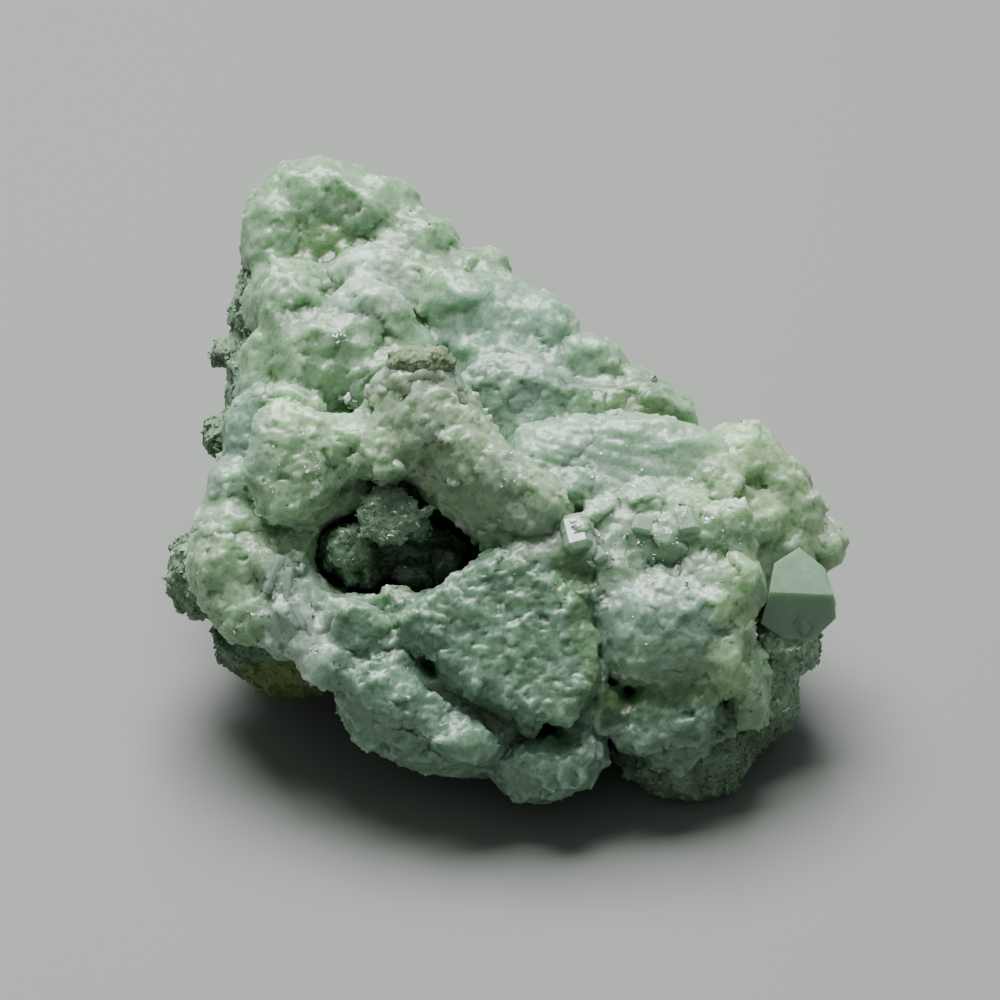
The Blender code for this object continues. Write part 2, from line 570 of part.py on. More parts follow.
def finish(obj, name, colour, roughness):
    """Gives an object its material and shades it flat, as broken crystal is."""
    material = bpy.data.materials.new(name)
    material.use_nodes = True
    surface = material.node_tree.nodes["Principled BSDF"]
    surface.inputs["Base Color"].default_value = (*colour, 1.0)
    surface.inputs["Roughness"].default_value = roughness
    obj.data.materials.clear()
    obj.data.materials.append(material)
    obj.data.shade_flat()


def main():
    for old in list(bpy.data.objects):
        bpy.data.objects.remove(old)
    finish(host_rock(), "host_rock", (0.13, 0.18, 0.14), 0.85)
    finish(prehnite(), "prehnite", (0.46, 0.60, 0.43), 0.35)
    finish(pocket_crystals(), "pocket_crystals", (0.34, 0.43, 0.36), 0.3)
    finish(pillar_cap(), "pillar_cap", (0.22, 0.23, 0.14), 0.9)


if __name__ == "__main__":
    main()
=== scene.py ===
"""The look of a prehnite specimen: pale green crystal on dark granular rock.

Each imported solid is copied, refined and broken into small crystal facets, then covered with loose
chips and leaves of crystal. Lengths are in millimetres here until a mesh is made.
"""

import itertools
import logging
import math
from dataclasses import dataclass, field
from enum import Enum

import bmesh
import bpy
import numpy as np
from mathutils import Euler, Matrix, Vector


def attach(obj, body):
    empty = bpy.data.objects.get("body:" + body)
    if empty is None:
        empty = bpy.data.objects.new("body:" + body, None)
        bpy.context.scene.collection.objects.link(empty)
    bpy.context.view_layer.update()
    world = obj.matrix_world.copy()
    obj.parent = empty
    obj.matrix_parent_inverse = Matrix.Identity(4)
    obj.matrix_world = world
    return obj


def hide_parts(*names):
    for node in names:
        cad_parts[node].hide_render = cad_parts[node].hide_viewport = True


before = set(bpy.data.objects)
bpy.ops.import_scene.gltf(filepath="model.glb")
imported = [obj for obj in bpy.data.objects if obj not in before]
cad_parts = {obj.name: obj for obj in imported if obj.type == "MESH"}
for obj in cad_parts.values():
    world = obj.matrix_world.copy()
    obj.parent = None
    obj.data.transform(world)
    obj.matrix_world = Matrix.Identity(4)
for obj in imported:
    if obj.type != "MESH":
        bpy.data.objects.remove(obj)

Array = np.ndarray
Colour = tuple[float, float, float]

MM = 0.001
FACE_LEAN = math.radians(38.0)
FACE_MIDDLE = np.array((-0.75, -12.5, 28.4))
ACROSS = np.array((1.0, 0.0, 0.0))
UP = np.array((0.0, math.sin(FACE_LEAN), math.cos(FACE_LEAN)))
OUT = np.array((0.0, -math.cos(FACE_LEAN), math.sin(FACE_LEAN)))
FACE_AXES = np.stack((ACROSS, UP, OUT), axis=1)
CAMERA_DISTANCE = 600.0
FRAME_WIDTH = 100.0
SENSOR_MM = 36.0

log = logging.getLogger("prehnite")


def to_face(points: Array) -> Array:
    """Turns points of the specimen into across, up and out on its show face.

    Args:
        points: N x 3 positions in millimetres.

    Returns:
        N x 3 lengths in millimetres.
    """
    return (points - FACE_MIDDLE) @ FACE_AXES


def from_face(points: Array) -> Array:
    """Turns across, up and out on the show face into positions, both in millimetres."""
    return FACE_MIDDLE + np.asarray(points, float) @ FACE_AXES.T


def ramp(values: Array, low: float, high: float) -> Array:
    """A smooth step from 0 at low to 1 at high."""
    share = np.clip((values - low) / (high - low), 0.0, 1.0)
    return share * share * (3.0 - 2.0 * share)


def dice(cells: Array, seed: int) -> Array:
    """A steady random number from 0 to 1 for each whole-numbered cell.

    Args:
        cells: N x 3 whole numbers.
        seed: which set of numbers to draw from.

    Returns:
        N numbers.
    """
    k = cells.astype(np.int64)
    mixed = (k[:, 0] * 73856093) ^ (k[:, 1] * 19349663) ^ (k[:, 2] * 83492791) ^ (seed * 40503 + 977)
    mixed &= 0xFFFFFFFF
    for shift, factor in ((16, 0x85EBCA6B), (13, 0xC2B2AE35)):
        mixed ^= mixed >> shift
        mixed = (mixed * factor) & 0xFFFFFFFF
    mixed ^= mixed >> 16
    return mixed / 2.0**32


def swell(points: Array, size: float, seed: int) -> Array:
    """A smooth random field from -1 to 1 whose lumps lie about size apart.

    Args:
        points: N x 3 positions.
        size: distance between lumps.
        seed: which field.

    Returns:
        N heights.
    """
    scaled = points / size
    base = np.floor(scaled)
    part = scaled - base
    part = part * part * (3.0 - 2.0 * part)
    total = np.zeros(len(points))
    for corner in itertools.product((0, 1), repeat=3):
        weight = np.prod(np.where(np.array(corner) == 1, part, 1.0 - part), axis=1)
        total += weight * dice(base + corner, seed)
    return total * 2.0 - 1.0


def facets_over(points: Array, size: float, seed: int) -> Array:
    """Shares points out between the facets of a broken mass of crystals.

    Args:
        points: N x 3 positions.
        size: mean facet size.
        seed: which pattern.

    Returns:
        N random numbers from 0 to 1; all points of a facet share one.
    """
    scaled = points / size
    base = np.floor(scaled)
    near = np.full(len(points), np.inf)
    owner = np.zeros(len(points))
    for step in itertools.product((-1, 0, 1), repeat=3):
        cell = base + step
        middle = cell + np.stack([dice(cell, seed + k) for k in range(3)], axis=1)
        distance = ((scaled - middle) ** 2).sum(axis=1)
        closer = distance < near
        near[closer] = distance[closer]
        owner[closer] = dice(cell[closer], seed + 3)
    return owner


@dataclass(frozen=True)
class Growth:
    """How the crystal of a region grew: its colours, its relief and the loose chips on it. Its crest colour is partly
    the crystal's own milky white and partly painted highlight; its crevice colour is painted shade.

    coarse, middle and fine say how flat the facets of three sizes are, from 0 to 1; groove is the
    height of striations; clumps is how thickly lumps of crystal stand on it and clump their size in
    millimetres; chips is the share of the surface's points that carry a chip, and chip its size.
    """

    body: Colour
    milky_crest_highlight: Colour
    crevice_shade: Colour
    coarse: float = 0.5
    middle: float = 0.5
    fine: float = 0.5
    groove: float = 0.0
    clumps: float = 0.5
    clump: float = 3.0
    chips: float = 0.3
    chip: float = 0.8


class Habit(Enum):
    """The ways in which the crystal and the rock of this specimen grew; three of them are painted shade instead: under
    the front shelf, in deep crevices and inside the hollow.
    """

    PALE = Growth((0.20, 0.325, 0.19), (0.32, 0.45, 0.33), (0.055, 0.15, 0.022), 0.7, 0.7, 0.6, 0.0, 1.0, 2.3, 0.02, 0.8)
    LEAFY = Growth((0.29, 0.44, 0.26), (0.41, 0.56, 0.40), (0.08, 0.20, 0.03), 0.6, 0.8, 0.8, 0.0, 1.0, 1.7, 0.0, 0.7)
    YELLOW = Growth((0.31, 0.46, 0.25), (0.40, 0.55, 0.38), (0.11, 0.22, 0.03), 0.5, 0.7, 0.6, 0.0, 0.8, 1.9, 0.0, 0.7)
    SUGARY = Growth((0.12, 0.22, 0.14), (0.26, 0.38, 0.30), (0.025, 0.08, 0.018), 0.8, 0.8, 0.7, 0.0, 0.9, 2.0, 0.06, 0.9)
    BLUISH = Growth((0.16, 0.28, 0.19), (0.32, 0.46, 0.38), (0.03, 0.09, 0.03), 0.7, 0.7, 0.7, 0.0, 0.8, 1.8, 0.06, 0.8)
    BLOCKY = Growth((0.25, 0.38, 0.25), (0.38, 0.52, 0.40), (0.08, 0.19, 0.03), 0.8, 0.6, 0.4, 0.0, 1.0, 2.8, 0.01, 0.9)
    GLASSY = Growth((0.20, 0.33, 0.23), (0.27, 0.41, 0.31), (0.12, 0.24, 0.08), 0.5, 0.4, 0.4, 0.2, 0.2, 2.4, 0.0, 0.5)
    FANNED = Growth((0.25, 0.39, 0.27), (0.33, 0.47, 0.36), (0.14, 0.27, 0.10), 0.3, 0.3, 0.3, 0.5, 0.1, 1.6, 0.0, 0.5)
    CLOUDY = Growth((0.28, 0.39, 0.24), (0.37, 0.47, 0.36), (0.13, 0.22, 0.06), 0.8, 0.8, 0.7, 0.15, 0.7, 1.6, 0.0, 0.5)
    MILKY = Growth((0.19, 0.30, 0.22), (0.32, 0.44, 0.36), (0.05, 0.13, 0.05), 0.5, 0.5, 0.6, 0.1, 0.5, 1.8, 0.0, 0.5)
    WHITE = Growth((0.31, 0.42, 0.33), (0.50, 0.62, 0.54), (0.08, 0.18, 0.06), 0.6, 0.8, 0.6, 0.3, 0.5, 2.2, 0.15, 0.9)
    CLEAVED = Growth((0.17, 0.27, 0.17), (0.21, 0.32, 0.21), (0.12, 0.20, 0.09), 0.2, 0.1, 0.2, 0.0, 0.0, 2.0, 0.0, 0.5)
    # Painted shade: the dark saturated green of deep crevices, the pit and recesses.
    DEEP_SHADE = Growth((0.10, 0.20, 0.07), (0.17, 0.29, 0.13), (0.05, 0.13, 0.02), 0.4, 0.4, 0.4, 0.0, 0.0, 2.0, 0.0, 0.5)
    # Painted shadow: near-black green under the overhanging front shelf, where its lower edge casts shade.
    SEAM = Growth((0.025, 0.070, 0.018), (0.07, 0.14, 0.07), (0.01, 0.04, 0.008), 0.5, 0.6, 0.6, 0.0, 0.0, 2.0, 0.0, 0.5)
    SHADED = Growth((0.010, 0.040, 0.004), (0.03, 0.09, 0.015), (0.003, 0.014, 0.002), 0.6, 0.8, 0.8, 0.0, 0.0, 2.0, 0.1, 0.6)
    ROCK = Growth((0.11, 0.19, 0.105), (0.24, 0.35, 0.23), (0.012, 0.030, 0.010), 0.8, 1.0, 1.0, 0.0, 0.8, 2.2, 1.0, 0.6)
    OLIVE = Growth((0.10, 0.15, 0.030), (0.12, 0.16, 0.06), (0.012, 0.017, 0.004), 0.6, 0.9, 1.0, 0.0, 0.5, 1.6, 0.8, 0.45)
    FLECKED = Growth((0.24, 0.37, 0.23), (0.50, 0.63, 0.50), (0.025, 0.05, 0.025), 0.8, 1.0, 1.0, 0.0, 0.8, 2.0, 1.0, 0.6)
    LINING = Growth((0.12, 0.20, 0.115), (0.27, 0.38, 0.28), (0.012, 0.035, 0.005), 0.3, 0.5, 0.6, 0.0, 0.0, 1.5, 0.4, 0.5)
    TIP = Growth((0.11, 0.175, 0.075), (0.24, 0.33, 0.20), (0.015, 0.028, 0.005), 0.3, 0.8, 1.0, 0.0, 0.0, 1.5, 0.4, 0.5)


@dataclass(frozen=True)
class Region:
    """An oval of the show face in which one habit rules.

    Attributes:
        habit: what grew there.
        at: its middle, across and up in millimetres.
        reach: its half width and half height in millimetres.
        turn: the oval's turn, anticlockwise, in degrees.
        weight: how strongly it rules over its neighbours.
        behind: how far out its points lie at most, for what is deep in a hollow.
        ahead: how far out its points lie at least, for what stands proud.
    """

    habit: Habit
    at: tuple[float, float]
    reach: tuple[float, float]
    turn: float = 0.0
    weight: float = 1.0
    behind: float = 99.0
    ahead: float = -99.0

    def share(self, face: Array) -> Array:
        """How strongly the region rules each point.

        Args:
            face: N x 3 positions on the show face.

        Returns:
            N weights.
        """
        angle = math.radians(self.turn)
        across = face[:, 0] - self.at[0]
        up = face[:, 1] - self.at[1]
        along = (across * math.cos(angle) + up * math.sin(angle)) / self.reach[0]
        beside = (up * math.cos(angle) - across * math.sin(angle)) / self.reach[1]
        inside = 1.0 - ramp(np.hypot(along, beside), 0.7, 1.25)
        inside = inside * (1.0 - ramp(face[:, 2], self.behind - 0.8, self.behind + 0.8))
        return self.weight * inside * ramp(face[:, 2], self.ahead - 0.8, self.ahead + 0.8)


CRYSTAL_REGIONS = (
    Region(Habit.LEAFY, (-19.0, 3.6), (7.0, 6.5)),
    Region(Habit.LEAFY, (-26.0, -5.0), (5.5, 8.0)),
    Region(Habit.MILKY, (-27.0, 5.0), (3.6, 6.5), weight=2.0),
    Region(Habit.CLOUDY, (-3.8, 4.8), (12.4, 5.0), turn=-42.0, weight=3.0, ahead=-3.6),
    Region(Habit.WHITE, (0.8, 4.0), (2.4, 3.0), turn=-40.0, weight=2.0, ahead=-3.0),
    Region(Habit.WHITE, (-7.0, 7.4), (1.8, 1.6), turn=-40.0, weight=2.0, ahead=-3.0),
    Region(Habit.GLASSY, (1.5, 12.5), (7.5, 10.0), turn=30.0),
    Region(Habit.FANNED, (11.5, 4.6), (11.0, 3.6), weight=1.6),
    Region(Habit.GLASSY, (3.0, -2.0), (3.5, 3.5)),
    Region(Habit.YELLOW, (25.0, 1.0), (7.0, 7.0), weight=0.9),
    Region(Habit.YELLOW, (33.0, -4.6), (3.0, 3.4), weight=2.0),
    Region(Habit.BLOCKY, (17.0, -3.8), (10.0, 4.6)),
    Region(Habit.YELLOW, (24.0, -9.0), (3.6, 3.8), weight=1.2),
    Region(Habit.YELLOW, (22.4, -17.0), (2.6, 3.2), weight=2.0),
    Region(Habit.WHITE, (16.5, -8.6), (5.5, 2.2), turn=6.0, weight=0.8),
    Region(Habit.MILKY, (15.5, -12.8), (6.6, 5.4), weight=1.0),
    Region(Habit.PALE, (16.0, -16.5), (6.0, 2.2), weight=1.4),
    # Painted shade in the crease below the pale band.
    Region(Habit.DEEP_SHADE, (16.0, -19.6), (7.0, 1.2), turn=4.0, weight=1.6),
    Region(Habit.CLEAVED, (30.6, -9.6), (4.4, 4.6), weight=4.0),
    Region(Habit.WHITE, (-20.4, -12.0), (3.4, 6.4), turn=18.0, weight=1.2),
    Region(Habit.SUGARY, (-9.0, -13.5), (8.0, 3.4), weight=1.1),
    Region(Habit.SUGARY, (1.0, -14.0), (9.5, 8.5), weight=1.3),
    Region(Habit.BLUISH, (-9.0, -20.0), (9.5, 7.0), turn=-20.0, weight=1.4),
    Region(Habit.BLUISH, (5.5, -26.5), (7.0, 4.4), weight=1.4),
    Region(Habit.SUGARY, (17.5, -23.5), (5.5, 4.5), weight=1.3),
    Region(Habit.WHITE, (-13.2, 22.4), (4.0, 3.6), weight=0.9),
    # Painted shadow along the creases below the front ledges.
    Region(Habit.SEAM, (-7.2, -17.2), (4.0, 1.0), turn=-38.0, weight=2.6),
    Region(Habit.SEAM, (-1.0, -21.2), (4.4, 1.1), turn=-30.0, weight=2.6),
    Region(Habit.SEAM, (5.4, -23.6), (3.0, 0.9), turn=-8.0, weight=2.2),
    Region(Habit.SEAM, (11.6, -21.0), (2.0, 1.0), turn=50.0, weight=1.6),
    Region(Habit.SHADED, (-8.8, -5.0), (8.0, 7.0), weight=60.0, behind=-3.4),
    # Painted shade in the pit at the peak, the recess between rim and pillar, and two crevices.
    Region(Habit.DEEP_SHADE, (-18.2, 25.8), (2.4, 3.0), turn=-30.0, weight=1.5, behind=-16.2),
    Region(Habit.DEEP_SHADE, (11.0, 9.4), (7.0, 1.8), turn=-8.0, weight=1.0, behind=-6.5),
    Region(Habit.DEEP_SHADE, (7.4, -7.4), (2.2, 2.6), weight=1.2),
    Region(Habit.DEEP_SHADE, (8.6, -13.6), (1.2, 4.6), turn=12.0, weight=1.6),
)

ROCK_REGIONS = (
    Region(Habit.OLIVE, (-21.5, -18.6), (6.0, 1.9), weight=3.0),
    Region(Habit.FLECKED, (28.0, -16.0), (4.5, 5.0), weight=1.3),
)


@dataclass
class Growths:
    """The growth at each point of a surface, mixed from the regions around it."""

    colours: dict[str, Array]
    amounts: dict[str, Array]

    @classmethod
    def mixed(cls, points: Array, facing: Array, ground: Habit, regions: tuple[Region, ...]) -> "Growths":
        """Mixes the habits that rule each point.

        Args:
            points: N x 3 positions in millimetres.
            facing: N numbers, 1 where the surface is part of the show face and 0 behind it.
            ground: the habit where no region rules.
            regions: the regions of the show face.

        Returns:
            The mixed growth.
        """
        face = to_face(points)
        shares = [np.full(len(points), 0.12)]
        habits = [ground]
        for region in regions:
            shares.append(region.share(face) * facing)
            habits.append(region.habit)
        weights = np.stack(shares, axis=1)
        weights /= weights.sum(axis=1, keepdims=True)
        colours = {}
        for name in ("body", "milky_crest_highlight", "crevice_shade"):
            colours[name] = weights @ np.array([getattr(habit.value, name) for habit in habits])
        amounts = {}
        for name in ("coarse", "middle", "fine", "groove", "clumps", "clump", "chips", "chip"):
            amounts[name] = weights @ np.array([getattr(habit.value, name) for habit in habits])
        return cls(colours, amounts)


@dataclass
class Surface:
    """A triangle or quad mesh held as arrays, with what is worked out over it."""

    points: Array
    edges: Array
    normals: Array

    @classmethod
    def of(cls, obj: bpy.types.Object) -> "Surface":
        """Reads an object's mesh.

        Args:
            obj: a mesh object that stands at the origin.

        Returns:
            Its points in millimetres, its edges and its normals.
        """
        mesh = obj.data
        points = np.empty(len(mesh.vertices) * 3)
        mesh.vertices.foreach_get("co", points)
        edges = np.empty(len(mesh.edges) * 2, np.int32)
        mesh.edges.foreach_get("vertices", edges)
        return cls(points.reshape(-1, 3) / MM, edges.reshape(-1, 2), cls.normals_of(obj))

    @staticmethod
    def normals_of(obj: bpy.types.Object) -> Array:
        """The normal at each vertex of an object's mesh."""
        normals = np.empty(len(obj.data.vertices) * 3)
        obj.data.vertices.foreach_get("normal", normals)
        return normals.reshape(-1, 3)

    def averaged(self, values: Array, reach: float) -> Array:
        """Evens out values between neighbouring points.

        Args:
            values: N x K values at the points.
            reach: how far the evening out goes, in millimetres.

        Returns:
            N x K values.
        """
        first, last = self.edges.T
        step = np.linalg.norm(self.points[first[::50]] - self.points[last[::50]], axis=1).mean()
        rounds = max(1, round((reach / step) ** 2))
        count = len(values)
        degree = np.bincount(first, minlength=count) + np.bincount(last, minlength=count)
        degree = np.maximum(degree, 1)
        for _ in range(rounds):
            fresh = np.empty_like(values)
            for k in range(values.shape[1]):
                column = values[:, k]
                total = np.bincount(first, column[last], count) + np.bincount(last, column[first], count)
                fresh[:, k] = 0.5 * column + 0.5 * total / degree
            values = fresh
        return values

    def flattening(self, owner: Array, size: float, tilt: float, seed: int) -> Array:
        """How far each point must move along its normal to make its facet a tilted plane.

        Args:
            owner: a number that all points of a facet share.
            size: the facets' size, in millimetres.
            tilt: how much the planes lean off the surface, as a slope.
            seed: where the leans come from.

        Returns:
            N lengths in millimetres.
        """
        _, group = np.unique(owner, return_inverse=True)
        count = np.bincount(group)[:, None]
        middle = np.stack([np.bincount(group, self.points[:, k]) for k in range(3)], axis=1) / count
        plane = np.stack([np.bincount(group, self.normals[:, k]) for k in range(3)], axis=1) / count
        agreed = np.linalg.norm(plane, axis=1)
        lean = np.random.default_rng(seed).normal(0.0, tilt, plane.shape)
        plane = plane / np.maximum(agreed, 1e-6)[:, None] + lean
        plane /= np.linalg.norm(plane, axis=1, keepdims=True)
        away = ((middle[group] - self.points) * plane[group]).sum(axis=1)
        slope = (self.normals * plane[group]).sum(axis=1)
        move = np.clip(away / np.maximum(slope, 0.55), -0.3 * size, 0.3 * size)
        return move * ramp(agreed[group], 0.55, 0.85) * ramp(slope, 0.2, 0.6)

    def relief(self, reach: float) -> Array:
        """How far each point stands proud of its surroundings within reach, in millimetres."""
        return ((self.points - self.averaged(self.points, reach)) * self.normals).sum(axis=1)


@dataclass(frozen=True)
class Finish:
    """A procedural material of crystal or rock, tinted by the mesh's own tone.

    Attributes:
        name: the material's name.
        roughness: lowest and highest roughness.
        grain: spacing of the finest bump, in millimetres.
        bump: how strong that bump is.
        glow: share of light that scatters inside.
        glow_depth: how far that light goes, in millimetres.
        mottle: how much the tone varies from place to place.
        clear: share of light that passes straight through.
    """

    name: str
    roughness: tuple[float, float]
    grain: float
    bump: float
    glow: float
    glow_depth: float
    mottle: float
    clear: float = 0.0

    def material(self) -> bpy.types.Material:
        """Builds the material.

        Returns:
            The new material.
        """
        made = bpy.data.materials.new(self.name)
        made.use_nodes = True
        nodes = made.node_tree.nodes
        links = made.node_tree.links
        surface = nodes["Principled BSDF"]
        surface.inputs["Subsurface Weight"].default_value = self.glow
        surface.inputs["Subsurface Radius"].default_value = (0.8, 1.0, 0.75)
        surface.inputs["Subsurface Scale"].default_value = self.glow_depth * MM
        surface.inputs["IOR"].default_value = 1.63
        surface.inputs["Transmission Weight"].default_value = self.clear
        place = nodes.new("ShaderNodeTexCoord")
        tone = nodes.new("ShaderNodeAttribute")
        tone.attribute_name = "tone"
        cloud = self.noise(nodes, links, place, 1.7, 5.0)
        speck = self.noise(nodes, links, place, 0.28, 3.0)
        both = nodes.new("ShaderNodeMath")
        both.operation = "ADD"
        links.new(cloud.outputs["Fac"], both.inputs[0])
        links.new(speck.outputs["Fac"], both.inputs[1])
        spread = nodes.new("ShaderNodeMapRange")
        spread.inputs["From Min"].default_value = 0.7
        spread.inputs["From Max"].default_value = 1.3
        spread.inputs["To Min"].default_value = 1.0 - self.mottle
        spread.inputs["To Max"].default_value = 1.0 + self.mottle
        links.new(both.outputs[0], spread.inputs["Value"])
        tint = nodes.new("ShaderNodeVectorMath")
        tint.operation = "SCALE"
        links.new(tone.outputs["Color"], tint.inputs[0])
        links.new(spread.outputs["Result"], tint.inputs["Scale"])
        links.new(tint.outputs["Vector"], surface.inputs["Base Color"])
        dull = nodes.new("ShaderNodeMapRange")
        dull.inputs["From Min"].default_value = 0.35
        dull.inputs["From Max"].default_value = 0.65
        dull.inputs["To Min"].default_value = self.roughness[0]
        dull.inputs["To Max"].default_value = self.roughness[1]
        links.new(speck.outputs["Fac"], dull.inputs["Value"])
        links.new(dull.outputs["Result"], surface.inputs["Roughness"])
        self.sparkle(nodes, links, place, surface)
        return made

    def sparkle(self, nodes, links, place, surface) -> None:
        """Tilts small flat facets at random, too fine for the mesh to hold.

        Args:
            nodes: the material's nodes.
            links: the material's links.
            place: the node that gives the place on the object.
            surface: the shader.
        """
        cells = nodes.new("ShaderNodeTexVoronoi")
        cells.inputs["Scale"].default_value = 1.0 / (self.grain * MM)
        links.new(place.outputs["Object"], cells.inputs["Vector"])
        within = nodes.new("ShaderNodeVectorMath")
        within.operation = "SUBTRACT"
        links.new(place.outputs["Object"], within.inputs[0])
        links.new(cells.outputs["Position"], within.inputs[1])
        lean = nodes.new("ShaderNodeVectorMath")
        lean.operation = "SUBTRACT"
        lean.inputs[1].default_value = (0.5, 0.5, 0.5)
        links.new(cells.outputs["Color"], lean.inputs[0])
        rise = nodes.new("ShaderNodeVectorMath")
        rise.operation = "DOT_PRODUCT"
        links.new(within.outputs["Vector"], rise.inputs[0])
        links.new(lean.outputs["Vector"], rise.inputs[1])
        bump = nodes.new("ShaderNodeBump")
        bump.inputs["Strength"].default_value = self.bump
        bump.inputs["Distance"].default_value = 1.0
        links.new(rise.outputs["Value"], bump.inputs["Height"])
        links.new(bump.outputs["Normal"], surface.inputs["Normal"])

    @staticmethod
    def noise(nodes, links, place, size: float, detail: float) -> bpy.types.Node:
        """Adds a noise whose lumps are size millimetres apart.

        Args:
            nodes: the material's nodes.
            links: the material's links.
            place: the node that gives the place on the object.
            size: spacing in millimetres.
            detail: how many finer layers it has.

        Returns:
            The noise node.
        """
        made = nodes.new("ShaderNodeTexNoise")
        made.inputs["Scale"].default_value = 1.0 / (size * MM)
        made.inputs["Detail"].default_value = detail
        links.new(place.outputs["Object"], made.inputs["Vector"])
        return made


CRYSTAL = Finish("crystal_mass", (0.24, 0.5), 0.5, 0.24, 0.9, 4.4, 0.16)
CRYSTAL_CHIP = Finish("crystal_chip", (0.3, 0.5), 0.5, 0.08, 0.9, 3.0, 0.08)
CRISP = Finish("crisp_crystal", (0.05, 0.16), 0.9, 0.05, 0.6, 3.0, 0.1, clear=0.25)
GLINT = Finish("glinting_face", (0.04, 0.10), 0.9, 0.02, 0.4, 2.0, 0.05)
CLEAN = Finish("clean_cleavage", (0.3, 0.45), 0.7, 0.12, 0.8, 3.0, 0.10)
ROCK = Finish("host_rock", (0.45, 0.85), 0.35, 0.5, 0.0, 1.0, 0.35)
ROCK_CHIP = Finish("host_rock_chip", (0.3, 0.75), 0.35, 0.3, 0.0, 1.0, 0.3)
LINING = Finish("hollow_lining", (0.15, 0.4), 0.35, 0.4, 0.3, 0.8, 0.2)
TIP = Finish("pillar_tip_rock", (0.6, 0.9), 0.3, 0.6, 0.0, 1.0, 0.3)


def paint(mesh: bpy.types.Mesh, tones: Array) -> None:
    """Stores a colour at each vertex of a mesh.

    Args:
        mesh: the mesh.
        tones: N x 3 linear colours.
    """
    layer = mesh.color_attributes.new("tone", "FLOAT_COLOR", "POINT")
    full = np.ones((len(tones), 4))
    full[:, :3] = np.clip(tones, 0.0, 1.0)
    layer.data.foreach_set("color", full.astype(np.float32).ravel())


def adopt(obj: bpy.types.Object, finish: Finish) -> None:
    """Gives a finished piece its material and its place on the specimen.

    Args:
        obj: the piece.
        finish: what it is made of.
    """
    obj.data.materials.clear()
    obj.data.materials.append(finish.material())
    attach(obj, "root")
    obj.data.calc_loop_triangles()
    log.info("%s: %d triangles", obj.name, len(obj.data.loop_triangles))


def hull_of(corners: Array) -> tuple[Array, Array]:
    """The closed hull of some points.

    Args:
        corners: N x 3 positions.

    Returns:
        The hull's corners and its triangles.
    """
    hull = bmesh.new()
    for corner in corners:
        hull.verts.new(corner)
    result = bmesh.ops.convex_hull(hull, input=hull.verts)
    spare = set(result["geom_interior"]) | set(result["geom_unused"])
    bmesh.ops.delete(hull, geom=[v for v in spare if isinstance(v, bmesh.types.BMVert)])
    bmesh.ops.triangulate(hull, faces=hull.faces)
    bmesh.ops.recalc_face_normals(hull, faces=hull.faces)
    hull.verts.index_update()
    kept = np.array([v.co for v in hull.verts])
    faces = np.array([[v.index for v in f.verts] for f in hull.faces])
    hull.free()
    return kept, faces


def chunk_shapes(seed: int, count: int = 12, corners: int = 9) -> list[tuple[Array, Array]]:
    """A few flat-faced chunks: the hulls of points on a rounded block one unit across.

    Args:
        seed: where their random numbers start.
        count: how many shapes.
        corners: how many points each is drawn from.

    Returns:
        The corners and the triangles of each.
    """
    rng = np.random.default_rng(seed)
    made = []
    for _ in range(count):
        rays = rng.normal(size=(corners, 3))
        blocky = np.abs(rays).max(axis=1, keepdims=True) ** 0.75
        rays /= blocky * np.linalg.norm(rays, axis=1, keepdims=True) ** 0.25
        made.append(hull_of(rays * 0.5))
    return made


@dataclass(frozen=True)
class Lump:
    """A clump or crystal of the show face, drawn as a rounded or boxy hull.

    Attributes:
        at: its middle across, up and out, in millimetres.
        half: its half sizes along the same axes.
        turn: its turn about the way out, anticlockwise, in degrees.
        lean: its turn about the way across, top backward, in degrees.
        swing: its turn about the way up, right side backward, in degrees.
        boxy: 2 for a ball, more for a block.
        corners: how many points its hull is drawn from.
    """

    at: tuple[float, float, float]
    half: tuple[float, float, float]
    turn: float = 0.0
    lean: float = 0.0
    swing: float = 0.0
    boxy: float = 2.6
    corners: int = 44

    def hull(self) -> tuple[Array, Array]:
        """Its corners in millimetres and its triangles."""
        order = np.arange(self.corners)
        rise = 1.0 - (2.0 * order + 1.0) / self.corners
        angle = order * math.pi * (3.0 - math.sqrt(5.0))
        flat = np.sqrt(1.0 - rise * rise)
        rays = np.stack((flat * np.cos(angle), flat * np.sin(angle), rise), axis=1)
        rays /= (np.abs(rays) ** self.boxy).sum(axis=1, keepdims=True) ** (1.0 / self.boxy)
        turns = Euler([math.radians(v) for v in (-self.lean, self.swing, self.turn)], "XYZ").to_matrix()
        corners = rays * np.array(self.half) @ np.array(turns).T + np.array(self.at)
        return hull_of(from_face(corners))


@dataclass(frozen=True)
class Plate:
    """A thick flat plate of crystal with a many-cornered outline.

    Attributes:
        outline: its corners across and up on the show face, in millimetres.
        front: how far out its front lies at the outline's middle.
        slope: how much further out the front lies per millimetre downward.
        thick: how thick it is.
        bevel: the front's size, as a share of the outline's.
    """

    outline: tuple[tuple[float, float], ...]
    front: float
    slope: float
    thick: float
    bevel: float = 0.9

    def hull(self) -> tuple[Array, Array]:
        """Its corners in millimetres and its triangles."""
        ring = np.array(self.outline)
        middle = ring.mean(axis=0)
        rows = []
        for share, drop in ((self.bevel, 0.0), (1.0, 0.8), (1.0, self.thick)):
            placed = middle + (ring - middle) * share
            out = self.front - drop + (middle[1] - placed[:, 1]) * self.slope
            rows.append(np.column_stack((placed, out)))
        return hull_of(from_face(np.concatenate(rows)))


